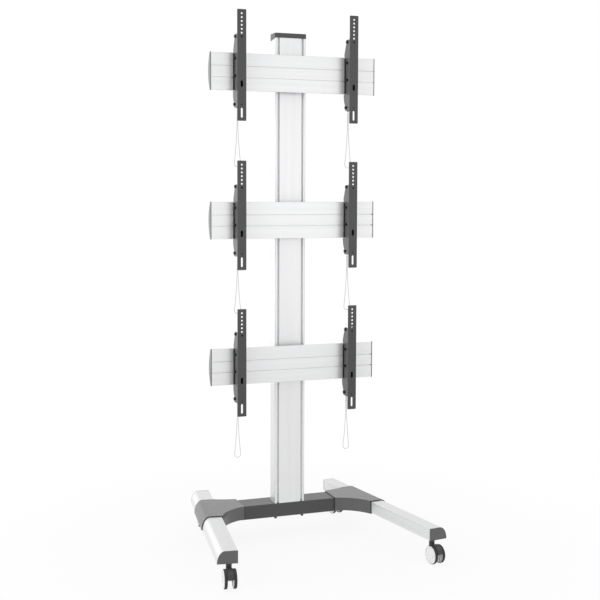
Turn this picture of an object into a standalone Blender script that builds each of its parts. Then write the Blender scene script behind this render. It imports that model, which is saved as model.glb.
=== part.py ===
"""Video wall floor stand: a slotted column on four casters carries three cross rails,
and two hooked, tilting display arms hang on each rail.

Metres, +Z up, +X right along the rails, +Y away from the viewer.
The floor is z = 0 and the middle of the footprint is x = y = 0.
"""
import math

import bmesh
import bpy
from mathutils import Matrix, Vector

# Gaps between pieces that touch or slide on each other
FIT = 0.0003
AXLE_FIT = 0.0005

# Radius for which a rounded corner gets one more facet
ROUND_STEP = 0.003

# Column extrusion
COLUMN_WIDTH = 0.136
COLUMN_DEPTH = 0.0625
COLUMN_LENGTH = 2.010
COLUMN_CORNER = 0.004
COLUMN_WALL = 0.003
COLUMN_SLOT_PITCH = 0.107
COLUMN_BOLT_X = 0.061
COLUMN_BOLT_Y = 0.0215

# T-slot that column and rails share, and the bar that slides in it
SLOT_MOUTH = 0.009
SLOT_LIP = 0.003
SLOT_WIDTH = 0.017
SLOT_DEPTH = 0.0105

# Moulded cap on the column
CAP_WALL = 0.002
CAP_PLATE = 0.003
CAP_SKIRT_FRONT = 0.0163
CAP_SKIRT_REAR = 0.025

# Legs, from their front end to their rear end, end caps included
LEG_SPLAY = math.radians(8.16)
LEG_LENGTH = 0.8725
LEG_WIDTH = 0.0804
LEG_FLAT = 0.0487
LEG_HEIGHT = 0.0495
LEG_WALL = 0.003
LEG_FRONT_X = 0.4023
LEG_FRONT_Y = -0.586
LEG_CAP = 0.004
LEG_PLUG = 0.012

# Crossbeam between the legs
BEAM_DEPTH = 0.1105
BEAM_HEIGHT = 0.059
BEAM_WALL = 0.004
BEAM_FRONT = 0.0015
BOLT_HEAD_RADIUS = 0.0065
BOLT_HEAD_HEIGHT = 0.008

# Moulded corner covers: where they start and end along the leg, and across the beam
COVER_WALL = 0.0036
COVER_LEG_FRONT = 0.450
COVER_LEG_REAR = 0.703
COVER_BEAM_END = 0.210
COVER_FRONT_PROUD = 0.009
COVER_REAR_PROUD = 0.006
COVER_SKIRT = 0.0035
COVER_FRONT_SAGITTA = 0.018
COVER_REAR_SAGITTA = 0.004

# Casters
WHEEL_RADIUS = 0.0375
WHEEL_WIDTH = 0.013
WHEEL_TREAD_ROUND = 0.004
HUB_RADIUS = 0.029
HUB_RECESS = 0.0015
AXLE_RADIUS = 0.004
CASTER_HEIGHT = 0.0975
CASTER_TRAIL = 0.025
CASTER_FROM_END = 0.033
CASTER_OUTWARD = 0.031
HOOD_RADIUS = 0.0392
HOOD_WIDTH = 0.023
HOOD_FLOOR = 0.031
PEDAL_WIDTH = 0.0185
PEDAL_THICKNESS = 0.006
PEDAL_PROUD = 0.0012
PEDAL_PIN_RADIUS = 0.0013
PEDAL_PIN_ANGLE = 112
PEDAL_END_ANGLE = 163
PEDAL_TRAVEL = 5

# Rails
RAIL_NAMES = ("bottom", "middle", "top")
RAIL_FIRST_HEIGHT = 0.7635
RAIL_PITCH = 0.6115
RAIL_LENGTH = 0.730
RAIL_HEIGHT = 0.154
RAIL_DEPTH = 0.0325
RAIL_STANDOFF = 0.0465
RAIL_LIP = 0.0065
RAIL_LIP_HEIGHT = 0.014
RAIL_WALL = 0.003
RAIL_SHOULDER = 0.0145
RAIL_FRONT_ROUND = 0.0015
RAIL_BACK_SAGITTA = 0.0035
RAIL_BACK_MARGIN = 0.0005
RAIL_GROOVE_PITCH = 0.0465
RAIL_GROOVE_WIDTH = 0.0022
RAIL_GROOVE_DEPTH = 0.0015
RAIL_SLOT_PITCH = 0.044
RAIL_CAP = 0.003
RAIL_CAP_PROUD = 0.0015
RAIL_PLUG = 0.010
CLAMP_WIDTH = 0.128
CLAMP_HEIGHT = 0.104
CLAMP_CORNER = 0.006
CLAMP_BAR_SHARE = 0.9

# Display arms, seen from the front
ARM_SPACING = 0.494
ARM_STANDOFF = 0.055
ARM_LENGTH = 0.450
ARM_WIDTH = 0.0384
ARM_TOP = 0.2466
ARM_PLATE = 0.003
ARM_FLANGE = 0.0017
ARM_BEND = 0.0002
ARM_CORNER = 0.003
ARM_HOLE_RADIUS = 0.004
ARM_HOLE_COUNT = 7
ARM_HOLE_PITCH = 0.0156
ARM_FIRST_HOLE = 0.017
ARM_SLOT_LENGTH = 0.040
ARM_SLOT_RADIUS = 0.0042
ARM_SLOT_FROM_TOP = 0.4175
ARM_OVAL_LENGTH = 0.027
ARM_OVAL_RADIUS = 0.0055
ARM_OVAL_FROM_TOP = 0.300
ARM_SCREW_FROM_TOP = 0.384
ARM_SCREW_RADIUS = 0.0028
FLANGE_TOP = 0.149
FLANGE_BOTTOM = -0.148
FLANGE_DEPTH = 0.0175
EAR_MARGIN = 0.001
EAR_CORNER = 0.004
PIVOT_EAR_HEIGHT = 0.0196
PIVOT_EAR_SLOPE = 0.014
LOCK_EAR_HEIGHT = 0.0252
LOCK_EAR_SLOPE = 0.0196

# Tilt pivot and lock bolt of an arm: behind its front face, above the rail's middle
PIVOT_BACK = 0.0298
PIVOT_UP = 0.140
LOCK_BACK = 0.0415
LOCK_UP = -0.1345
TILT_RANGE = math.radians(3.0)
PIVOT_RADIUS = 0.004
LOCK_RADIUS = 0.003
TILT_HEAD_RADIUS = 0.0075
TILT_HEAD_HEIGHT = 0.004

# Hook brackets
BRACKET_PLATE = 0.002
BRACKET_WEB = 0.0025
BRACKET_WEB_DROP = 0.0708
BRACKET_FRONT = 0.0207
BRACKET_TOP_BACK = -0.014
BRACKET_SHOULDER_UP = 0.012
BRACKET_CORNER = 0.004
JAW_GAP = 0.0015
JAW_HEIGHT = 0.007
JAW_SLOPE = 0.0025
HOOK_THICKNESS = 0.003
HOOK_REACH = 0.012
GUIDE_DROP = 0.0205
GUIDE_THICKNESS = 0.0025
GUIDE_EDGE = 0.003
RAIL_SCREW_UP = (0.053, -0.019)
RAIL_SCREW_BACK = 0.034
RAIL_SCREW_RADIUS = 0.006
RAIL_SCREW_HEIGHT = 0.007

# Latches and their pull cords
LATCH_WIDTH = 0.022
LATCH_THICKNESS = 0.003
LATCH_OVERLAP = 0.011
LATCH_DROP = 0.073
LATCH_CORNER = 0.003
LATCH_TAPER = 0.012
LATCH_FOOT_WIDTH = 0.0077
LATCH_STEM_RADIUS = 0.0014
FERRULE_RADIUS = 0.003
FERRULE_LENGTH = 0.024
FERRULE_STEM = 0.006
FERRULE_BITE = 0.002
CORD_RADIUS = 0.001
CORD_STRAND_GAP = 0.0007
CORD_DROP = 0.209
CORD_LOOP_WIDTH = 0.030
CORD_POINTS = 31
CORD_BEND_SHARE = 0.06
CORD_STRAND_SHARES = (0.0, 0.10, 0.22, 0.36, 0.52, 0.68, 0.82, 0.93)
CORD_SPREAD_POWER = 1.8
CORD_TURN_SHARES = (0.62, 0.985)

# Driven heights and depths, with the column's middle at y = 0
LEG_TOP = CASTER_HEIGHT + LEG_HEIGHT
COLUMN_FRONT = -COLUMN_DEPTH / 2
BEAM_Y0 = COLUMN_FRONT - BEAM_FRONT
BEAM_Y1 = BEAM_Y0 + BEAM_DEPTH
RAIL_FRONT = COLUMN_FRONT - RAIL_STANDOFF
RAIL_BACK = RAIL_FRONT + RAIL_DEPTH
RAIL_BACK_FLAT = RAIL_SLOT_PITCH + SLOT_WIDTH + 2 * (RAIL_WALL + RAIL_BACK_MARGIN)
ARM_FRONT = RAIL_FRONT - ARM_STANDOFF
RAIL_HEIGHTS = [RAIL_FIRST_HEIGHT + RAIL_PITCH * step for step in range(3)]


def leg_point(back, outward):
    """Plan position of a point on the right leg, from its front end and its inner side."""
    return Vector((LEG_FRONT_X - math.sin(LEG_SPLAY) * back + math.cos(LEG_SPLAY) * outward,
                   LEG_FRONT_Y + math.cos(LEG_SPLAY) * back + math.sin(LEG_SPLAY) * outward))


# The footprint runs from the front wheels to the rear end caps
WHEEL_OUTER = HOOD_WIDTH / 2 + AXLE_FIT + WHEEL_WIDTH
FOOT_FRONT = (leg_point(CASTER_FROM_END - CASTER_TRAIL, CASTER_OUTWARD - WHEEL_OUTER + WHEEL_TREAD_ROUND).y
              - WHEEL_RADIUS * math.cos(LEG_SPLAY))
FOOT_REAR = leg_point(LEG_LENGTH, LEG_WIDTH).y
FOOT_SHIFT = -(FOOT_FRONT + FOOT_REAR) / 2

for old in list(bpy.data.objects):
    bpy.data.objects.remove(old, do_unlink=True)


# Outlines

def arc(centre, radius, start, end, steps):
    """Points on a circle from angle start to angle end, in degrees, both ends included."""
    points = []
    for step in range(steps + 1):
        angle = math.radians(start + (end - start) * step / steps)
        points.append((centre[0] + radius * math.cos(angle), centre[1] + radius * math.sin(angle)))
    return points


def circle(centre, radius, sides):
    return arc(centre, radius, 0, 360 - 360 / sides, sides - 1)


def sector(centre, inner, outer, start, end, steps):
    """Part of a ring between two radii and two angles."""
    return arc(centre, outer, start, end, steps) + arc(centre, inner, end, start, steps)


def stadium(centre, length, radius, steps=3):
    """A slot with round ends that stands upright."""
    reach = length / 2 - radius
    top = arc((centre[0], centre[1] + reach), radius, 0, 180, steps)
    bottom = arc((centre[0], centre[1] - reach), radius, 180, 360, steps)
    return top + bottom


def bowed(start, end, sagitta, steps):
    """Points on the shallow arc from start to end that bulges to the left by sagitta."""
    start = Vector(start)
    end = Vector(end)
    chord = end - start
    normal = Vector((-chord.y, chord.x)).normalized()
    radius = chord.length_squared / (8 * sagitta) + sagitta / 2
    centre = (start + end) / 2 + normal * (sagitta - radius)
    first = math.degrees(math.atan2(start.y - centre.y, start.x - centre.x))
    sweep = -2 * math.degrees(math.asin(chord.length / 2 / radius))
    return arc(centre, abs(radius), first, first + sweep, steps)


def rounded(corners):
    """A closed outline; a corner given as (u, v, radius) is rounded off."""
    points = []
    count = len(corners)
    for index, corner in enumerate(corners):
        here = Vector(corner[:2])
        if len(corner) == 2:
            points.append(tuple(here))
            continue
        before = (Vector(corners[index - 1][:2]) - here).normalized()
        after = (Vector(corners[(index + 1) % count][:2]) - here).normalized()
        half = before.angle(after) / 2
        centre = here + (before + after).normalized() * corner[2] / math.sin(half)
        tangent = corner[2] / math.tan(half)
        first = here + before * tangent - centre
        last = here + after * tangent - centre
        start = math.degrees(math.atan2(first.y, first.x))
        sweep = math.degrees(math.atan2(last.y, last.x)) - start
        sweep = (sweep + 180) % 360 - 180
        points += arc(centre, corner[2], start, start + sweep, max(1, round(corner[2] / ROUND_STEP)))
    return points


def rectangle(u0, u1, v0, v1, radius=None):
    corners = [(u0, v0), (u1, v0), (u1, v1), (u0, v1)]
    if radius:
        corners = [corner + (radius,) for corner in corners]
    return rounded(corners)


def mirrored(points):
    return [(-u, v) for u, v in points]


# Solids

AXES = {
    "x": lambda u, v, w: (w, u, v),
    "y": lambda u, v, w: (u, w, v),
    "z": lambda u, v, w: (u, v, w),
}


def extrusion(loops, low, high, along="z"):
    """A closed mesh: the area between the outline and its holes, drawn from low to high."""
    bm = bmesh.new()
    for loop in loops:
        ring = [bm.verts.new(AXES[along](u, v, low)) for u, v in loop]
        for index, vert in enumerate(ring):
            bm.edges.new((vert, ring[(index + 1) % len(ring)]))
    bmesh.ops.triangle_fill(bm, use_beauty=True, use_dissolve=False, edges=bm.edges[:])
    floor = bm.faces[:]
    drawn = bmesh.ops.extrude_face_region(bm, geom=floor, use_keep_orig=True)
    moved = [item for item in drawn["geom"] if isinstance(item, bmesh.types.BMVert)]
    bmesh.ops.translate(bm, verts=moved, vec=AXES[along](0, 0, high - low))
    bmesh.ops.recalc_face_normals(bm, faces=bm.faces[:])
    return bm


def turned(profile, steps, along="x"):
    """A closed mesh: a profile of (position along the axis, radius) turned right round."""
    bm = bmesh.new()
    place = {"x": lambda a, r: (a, 0, r), "z": lambda a, r: (r, 0, a)}[along]
    axis = {"x": (1, 0, 0), "z": (0, 0, 1)}[along]
    line = [bm.verts.new(place(a, r)) for a, r in profile]
    edges = [bm.edges.new(pair) for pair in zip(line, line[1:])]
    bmesh.ops.spin(bm, geom=line + edges, cent=(0, 0, 0), axis=axis, angle=math.tau,
                   steps=steps, use_duplicate=False)
    bmesh.ops.remove_doubles(bm, verts=bm.verts[:], dist=1e-6)
    bmesh.ops.recalc_face_normals(bm, faces=bm.faces[:])
    return bm


def cylinder(centre, radius, low, high, along, sides=14):
    return extrusion([circle(centre, radius, sides)], low, high, along)


# Materials and objects

def material(name, colour, roughness, metallic=0.0):
    mat = bpy.data.materials.new(name)
    mat.use_nodes = True
    shader = mat.node_tree.nodes["Principled BSDF"]
    shader.inputs["Base Color"].default_value = (*colour, 1.0)
    shader.inputs["Roughness"].default_value = roughness
    shader.inputs["Metallic"].default_value = metallic
    return mat


ALUMINIUM = ((0.86, 0.86, 0.86), 0.38, 0.85)
GREY_PLASTIC = ((0.10, 0.10, 0.105), 0.5, 0.0)
GREY_PAINT = ((0.075, 0.075, 0.08), 0.5, 0.1)
ZINC = ((0.6, 0.6, 0.58), 0.4, 0.9)
BLACK_PLASTIC = ((0.03, 0.03, 0.032), 0.45, 0.0)
CORD = ((0.8, 0.8, 0.78), 0.8, 0.0)

ORIGIN = bpy.data.objects.new("stand_origin", None)
ORIGIN.location = (0, FOOT_SHIFT, 0)
bpy.context.scene.collection.objects.link(ORIGIN)


def empty(name, location, parent=ORIGIN, turn=0.0):
    """A frame on a joint's axis, given in its parent's own frame."""
    frame = bpy.data.objects.new(name, None)
    frame.parent = parent
    frame.location = location
    frame.rotation_euler = (0, 0, turn)
    bpy.context.scene.collection.objects.link(frame)
    return frame


def piece(name, bm, look, parent=ORIGIN, smooth=None):
    """A named object with its own material; smooth is the sharpest edge angle shaded round."""
    mesh = bpy.data.meshes.new(name)
    bm.to_mesh(mesh)
    bm.free()
    if smooth:
        mesh.shade_smooth()
        mesh.set_sharp_from_angle(angle=math.radians(smooth))
    mesh.materials.append(material(name, *look))
    made = bpy.data.objects.new(name, mesh)
    made.parent = parent
    bpy.context.scene.collection.objects.link(made)
    return made


def tool(target, name, bm, operation):
    """A hidden solid that is joined to, or cut from, the target by a Boolean modifier."""
    mesh = bpy.data.meshes.new(name)
    bm.to_mesh(mesh)
    bm.free()
    made = bpy.data.objects.new(name, mesh)
    made.parent = target.parent
    made.hide_render = True
    made.display_type = 'WIRE'
    bpy.context.scene.collection.objects.link(made)
    modifier = target.modifiers.new(name, 'BOOLEAN')
    modifier.operation = operation
    modifier.object = made
    return made


# Column, its cap and the crossbeam

def t_slot(centre, face, inward):
    """Outline corners of a T-slot in a face at v = face, from its left lip to its right lip."""
    half_mouth = SLOT_MOUTH / 2
    half_slot = SLOT_WIDTH / 2
    lip = face + inward * SLOT_LIP
    floor = face + inward * SLOT_DEPTH
    return [(centre - half_mouth, face), (centre - half_mouth, lip), (centre - half_slot, lip),
            (centre - half_slot, floor), (centre + half_slot, floor), (centre + half_slot, lip),
            (centre + half_mouth, lip), (centre + half_mouth, face)]


def t_bar(back, reach):
    """Section of the bar that slides in a T-slot whose face is at v = 0, slot toward -v."""
    neck = SLOT_MOUTH / 2 - FIT
    head = SLOT_WIDTH / 2 - FIT
    lip = -SLOT_LIP - FIT
    return [(-neck, back), (-neck, lip), (-head, lip), (-head, -reach),
            (head, -reach), (head, lip), (neck, lip), (neck, back)]


def build_column():
    half = COLUMN_WIDTH / 2
    back = COLUMN_DEPTH / 2
    slot = COLUMN_SLOT_PITCH / 2
    outline = [(-half, -back, COLUMN_CORNER)]
    outline += t_slot(-slot, -back, 1) + t_slot(slot, -back, 1)
    outline += [(half, -back, COLUMN_CORNER), (half, back, COLUMN_CORNER)]
    outline += t_slot(slot, back, -1)[::-1] + t_slot(-slot, back, -1)[::-1]
    outline += [(-half, back, COLUMN_CORNER)]
    room = slot - SLOT_WIDTH / 2 - COLUMN_WALL
    side_in = room + COLUMN_WALL
    side_out = half - COLUMN_WALL
    depth = back - SLOT_DEPTH - COLUMN_WALL
    hollows = [rectangle(-room, room, -back + COLUMN_WALL, back - COLUMN_WALL),
               rectangle(side_in, side_out, -depth, depth),
               rectangle(-side_out, -side_in, -depth, depth)]
    bm = extrusion([rounded(outline)] + hollows, LEG_TOP + FIT, LEG_TOP + COLUMN_LENGTH)
    piece("column", bm, ALUMINIUM, smooth=35)


def build_column_cap():
    top = LEG_TOP + COLUMN_LENGTH
    grow = CAP_WALL + FIT
    x1 = COLUMN_WIDTH / 2 + grow
    y1 = COLUMN_DEPTH / 2 + grow
    skirt = top - CAP_SKIRT_FRONT
    bm = extrusion([rectangle(-x1, x1, -y1, y1, COLUMN_CORNER + grow)], skirt, top + FIT + CAP_PLATE)
    for vert in bm.verts:
        if vert.co.z < top:
            vert.co.z -= (vert.co.y + y1) / (2 * y1) * (CAP_SKIRT_REAR - CAP_SKIRT_FRONT)
    cap = piece("column_cap", bm, GREY_PAINT, smooth=35)
    inner_x = COLUMN_WIDTH / 2 + FIT
    inner_y = COLUMN_DEPTH / 2 + FIT
    bore = extrusion([rectangle(-inner_x, inner_x, -inner_y, inner_y, COLUMN_CORNER + FIT)],
                     top - 2 * CAP_SKIRT_REAR, top + FIT)
    tool(cap, "column_cap_bore", bore, 'DIFFERENCE')


def leg_inner_x(y, gap=0.0):
    """X of the right leg's inner side at the given y."""
    return LEG_FRONT_X - (y - LEG_FRONT_Y) * math.tan(LEG_SPLAY) - gap / math.cos(LEG_SPLAY)


def build_crossbeam():
    z0 = LEG_TOP - BEAM_HEIGHT
    outer = rectangle(BEAM_Y0, BEAM_Y1, z0, LEG_TOP, 0.003)
    inner = rectangle(BEAM_Y0 + BEAM_WALL, BEAM_Y1 - BEAM_WALL, z0 + BEAM_WALL, LEG_TOP - BEAM_WALL)
    bm = extrusion([outer, inner], -1.0, 1.0, "x")
    for vert in bm.verts:
        vert.co.x *= leg_inner_x(vert.co.y, FIT)
    beam = piece("crossbeam", bm, GREY_PAINT, smooth=35)
    for x in (-COLUMN_BOLT_X, COLUMN_BOLT_X):
        for y in (-COLUMN_BOLT_Y, COLUMN_BOLT_Y):
            bolt = cylinder((x, y), BOLT_HEAD_RADIUS, z0 - BOLT_HEAD_HEIGHT, z0 + BEAM_WALL / 2, "z", 6)
            tool(beam, "column_bolt_head", bolt, 'UNION')


# Legs, in a frame at the front end of each: X outward from the inner side, Y back along it

def leg_section(grow=0.0, floor=0.0):
    """Flat top, quarter-round outer side; grow offsets it outward and floor lowers its bottom."""
    bottom = CASTER_HEIGHT - floor
    top = LEG_TOP + grow
    reach = LEG_WIDTH - LEG_FLAT + grow
    rise = LEG_HEIGHT + grow
    points = [(-grow, bottom), (LEG_WIDTH + grow, bottom)]
    for step in range(1 if floor == 0 else 0, 7):
        angle = math.radians(90 * step / 6)
        points.append((LEG_FLAT + reach * math.cos(angle), CASTER_HEIGHT + rise * math.sin(angle)))
    points.append((-grow, top))
    return points


def leg_frame(side):
    return empty(f"leg_frame_{side}", (SIDES[side] * LEG_FRONT_X, LEG_FRONT_Y, 0),
                 turn=SIDES[side] * LEG_SPLAY)


def handed(side, points):
    """The right-hand outline, mirrored for the left."""
    return points if SIDES[side] > 0 else mirrored(points)


SIDES = {"left": -1, "right": 1}
ENDS = ("front", "rear")


def leg_bore():
    """The hollow inside a leg, one wall in from its outside."""
    return [(u, min(max(v, CASTER_HEIGHT + LEG_WALL), LEG_TOP - LEG_WALL))
            for u, v in leg_section(-LEG_WALL)]


def build_leg(side, frame):
    start = LEG_CAP + FIT
    bm = extrusion([handed(side, leg_section()), handed(side, leg_bore())],
                   start, LEG_LENGTH - start, "y")
    piece(f"leg_{side}", bm, ALUMINIUM, frame, smooth=35)
    for end in ENDS:
        edge = 0 if end == "front" else LEG_LENGTH
        way = 1 if end == "front" else -1
        plate = extrusion([handed(side, leg_section())], edge, edge + way * LEG_CAP, "y")
        cap = piece(f"leg_cap_{end}_{side}", plate, GREY_PLASTIC, frame, smooth=35)
        inset = LEG_WALL + FIT
        plug_outline = rounded([(inset, CASTER_HEIGHT + inset), (LEG_FLAT, CASTER_HEIGHT + inset),
                                (LEG_FLAT, LEG_TOP - inset), (inset, LEG_TOP - inset)])
        plug = extrusion([handed(side, plug_outline)], edge + way * LEG_CAP / 2,
                         edge + way * (LEG_CAP + LEG_PLUG), "y")
        tool(cap, f"leg_cap_plug_{end}_{side}", plug, 'UNION')


# Corner covers

def cover_plan(inset):
    """Plan outline of the right cover; inset draws every side in by that much."""
    front_inner = leg_point(COVER_LEG_FRONT + inset, inset - COVER_WALL - FIT)
    front_outer = leg_point(COVER_LEG_FRONT + inset, LEG_WIDTH * 1.5)
    rear_outer = leg_point(COVER_LEG_REAR - inset, LEG_WIDTH * 1.5)
    rear_inner = leg_point(COVER_LEG_REAR - inset, inset - COVER_WALL - FIT)
    beam_x = COVER_BEAM_END + inset
    beam_front = (beam_x, BEAM_Y0 - COVER_FRONT_PROUD + inset)
    beam_rear = (beam_x, BEAM_Y1 + COVER_REAR_PROUD - inset)
    front = bowed(front_inner, beam_front, -COVER_FRONT_SAGITTA, 7)
    rear = bowed(beam_rear, rear_inner, -COVER_REAR_SAGITTA, 3)
    return [tuple(front_outer)] + front + rear + [tuple(rear_outer)]


def cover_section(grow, top, floor):
    """Section across the leg: it reaches inward over the beam, and its outer side follows the leg."""
    far = -LEG_FRONT_X
    reach = LEG_WIDTH - LEG_FLAT + grow
    rise = LEG_HEIGHT + grow
    points = [(far, CASTER_HEIGHT - floor), (LEG_WIDTH + grow, CASTER_HEIGHT - floor)]
    for step in range(7):
        angle = math.radians(90 * step / 6)
        points.append((LEG_FLAT + reach * math.cos(angle), CASTER_HEIGHT + rise * math.sin(angle)))
    points[-1] = (LEG_FLAT, top)
    points.append((far, top))
    return points


def build_cover(side, frame):
    grow = COVER_WALL + FIT
    top = LEG_TOP + grow
    plan = handed(side, cover_plan(0.0))
    cover = piece(f"corner_cover_{side}", extrusion([plan], CASTER_HEIGHT - COVER_SKIRT, top),
                  GREY_PLASTIC, smooth=35)
    shape = extrusion([handed(side, cover_section(grow, top, 2 * COVER_SKIRT))], 0, LEG_LENGTH, "y")
    trim = tool(cover, f"cover_section_{side}", shape, 'INTERSECT')
    trim.parent = frame

    hollow = extrusion([handed(side, cover_plan(COVER_WALL))], CASTER_HEIGHT - 2 * COVER_SKIRT,
                       LEG_TOP + FIT)
    core = tool(cover, f"cover_hollow_{side}", hollow, 'DIFFERENCE')
    inner = extrusion([handed(side, cover_section(FIT, LEG_TOP + 2 * FIT, 3 * COVER_SKIRT))],
                      0, LEG_LENGTH, "y")
    tool(core, f"cover_hollow_section_{side}", inner, 'INTERSECT').parent = frame

    passage = extrusion([handed(side, leg_section(FIT, 2 * COVER_SKIRT))], 0, LEG_LENGTH, "y")
    tool(cover, f"cover_leg_passage_{side}", passage, 'DIFFERENCE').parent = frame
    beam_section = rectangle(BEAM_Y0 - FIT, BEAM_Y1 + FIT, CASTER_HEIGHT - 2 * BEAM_HEIGHT, LEG_TOP + FIT)
    passage_end = leg_inner_x(BEAM_Y1) + LEG_FLAT / 2
    beam = extrusion([beam_section], SIDES[side] * (COVER_BEAM_END - LEG_HEIGHT),
                     SIDES[side] * passage_end, "x")
    tool(cover, f"cover_beam_passage_{side}", beam, 'DIFFERENCE')


# Casters, each in a frame on its swivel axis; the wheels trail toward the front

def build_caster(end, side, frame):
    back = CASTER_FROM_END if end == "front" else LEG_LENGTH - CASTER_FROM_END
    swivel = empty(f"caster_swivel_{end}_{side}", (SIDES[side] * CASTER_OUTWARD, back, 0), frame)
    tag = f"{end}_{side}"
    axle = (-CASTER_TRAIL, WHEEL_RADIUS)

    reach = math.degrees(math.asin((HOOD_FLOOR - WHEEL_RADIUS) / HOOD_RADIUS))
    hood = arc(axle, HOOD_RADIUS, 180 - reach, reach, 12)
    pin = arc(axle, HOOD_RADIUS - PEDAL_THICKNESS / 2, PEDAL_PIN_ANGLE, 360, 1)[0]
    bores = [circle(axle, AXLE_RADIUS + AXLE_FIT, 12), circle(pin, PEDAL_PIN_RADIUS + FIT, 8)]
    yoke = piece(f"caster_yoke_{tag}", extrusion([hood] + bores, -HOOD_WIDTH / 2, HOOD_WIDTH / 2, "x"),
                 BLACK_PLASTIC, swivel, smooth=35)
    neck = cylinder((0, 0), HOOD_WIDTH / 2, WHEEL_RADIUS + HOOD_RADIUS / 2, CASTER_HEIGHT - FIT, "z", 14)
    tool(yoke, f"caster_neck_{tag}", neck, 'UNION')
    recess = sector(axle, HOOD_RADIUS - 1.5 * PEDAL_THICKNESS, 2 * HOOD_RADIUS,
                    PEDAL_PIN_ANGLE - 2 * PEDAL_TRAVEL, PEDAL_END_ANGLE + PEDAL_TRAVEL, 3)
    side_gap = PEDAL_WIDTH / 2 + FIT
    tool(yoke, f"pedal_recess_{tag}", extrusion([recess], -side_gap, side_gap, "x"), 'DIFFERENCE')

    pedal_frame = empty(f"brake_pin_{tag}", (0, pin[0], pin[1]), swivel)
    lever = sector((axle[0] - pin[0], axle[1] - pin[1]), HOOD_RADIUS - PEDAL_THICKNESS,
                   HOOD_RADIUS + PEDAL_PROUD, PEDAL_PIN_ANGLE - PEDAL_TRAVEL, PEDAL_END_ANGLE, 4)
    pedal = piece(f"brake_pedal_{tag}", extrusion([lever], -PEDAL_WIDTH / 2, PEDAL_WIDTH / 2, "x"),
                  GREY_PLASTIC, pedal_frame, smooth=35)
    stub = HOOD_WIDTH / 2 - FIT
    tool(pedal, f"brake_stub_{tag}", cylinder((0, 0), PEDAL_PIN_RADIUS, -stub, stub, "x", 8), 'UNION')

    axle_frame = empty(f"caster_axle_{tag}", (0, axle[0], axle[1]), swivel)
    inner = HOOD_WIDTH / 2 + AXLE_FIT
    outer = WHEEL_OUTER
    half = [(0, AXLE_RADIUS), (inner, AXLE_RADIUS), (inner, WHEEL_RADIUS),
            (outer - WHEEL_TREAD_ROUND, WHEEL_RADIUS), (outer, WHEEL_RADIUS - WHEEL_TREAD_ROUND),
            (outer, HUB_RADIUS), (outer - HUB_RECESS, HUB_RADIUS - HUB_RECESS),
            (outer - HUB_RECESS, 0)]
    profile = [(-a, r) for a, r in half[:0:-1]] + half[1:]
    piece(f"caster_wheels_{tag}", turned(profile, 18), BLACK_PLASTIC, axle_frame, smooth=35)


# Rails

def rail_section():
    """Front face with two grooves, a hooking lip along each edge, and a bulged back with T-slots."""
    half = RAIL_HEIGHT / 2
    groove = RAIL_GROOVE_PITCH / 2
    width = RAIL_GROOVE_WIDTH / 2
    lip = RAIL_FRONT + RAIL_LIP
    notch = half - RAIL_LIP_HEIGHT
    shoulder = RAIL_FRONT + RAIL_SHOULDER
    flat = RAIL_BACK_FLAT / 2
    front = []
    for middle in (-groove, groove):
        front += [(RAIL_FRONT, middle - width), (RAIL_FRONT + RAIL_GROOVE_DEPTH, middle - width),
                  (RAIL_FRONT + RAIL_GROOVE_DEPTH, middle + width), (RAIL_FRONT, middle + width)]
    back = []
    for middle in (RAIL_SLOT_PITCH / 2, -RAIL_SLOT_PITCH / 2):
        back += [(v, u) for u, v in t_slot(middle, RAIL_BACK, -1)][::-1]
    upper = [(RAIL_FRONT, half, RAIL_FRONT_ROUND), (lip, half), (lip, notch), (shoulder, notch)]
    rear_up = bowed((shoulder, notch), (RAIL_BACK, flat), RAIL_BACK_SAGITTA, 4)[1:]
    rear_down = [(y, -z) for y, z in rear_up[::-1]]
    lower = [(shoulder, -notch), (lip, -notch), (lip, -half), (RAIL_FRONT, -half, RAIL_FRONT_ROUND)]
    return rounded(front + upper + rear_up + back + rear_down + lower)


def rail_hollows():
    wall = RAIL_WALL
    front = RAIL_FRONT + wall
    slot_edge = (RAIL_SLOT_PITCH + SLOT_WIDTH) / 2 + wall
    middle_edge = (RAIL_SLOT_PITCH - SLOT_WIDTH) / 2 - wall
    top = RAIL_HEIGHT / 2 - RAIL_LIP_HEIGHT - wall
    shoulder = RAIL_FRONT + RAIL_SHOULDER - wall
    back = RAIL_BACK - wall
    flat = RAIL_BACK_FLAT / 2
    corner = (back - 2 * RAIL_BACK_MARGIN, flat)
    upper = [(front, slot_edge), (back, slot_edge), corner, (shoulder, top), (front, top)]
    lower = [(y, -z) for y, z in upper[::-1]]
    return [upper, rectangle(front, back, -middle_edge, middle_edge), lower]


def rail_cap_section():
    """Lens-shaped end cap, a little proud of the rail all round."""
    half = RAIL_HEIGHT / 2 + RAIL_CAP_PROUD
    front = RAIL_FRONT - RAIL_CAP_PROUD
    edge = RAIL_FRONT + RAIL_LIP + RAIL_CAP_PROUD
    bulge = RAIL_BACK + RAIL_CAP_PROUD - edge
    rear = bowed((edge, half), (edge, -half), bulge, 12)
    return rounded([(front, -half, RAIL_CAP), (front, half, RAIL_CAP)] + rear)


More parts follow.
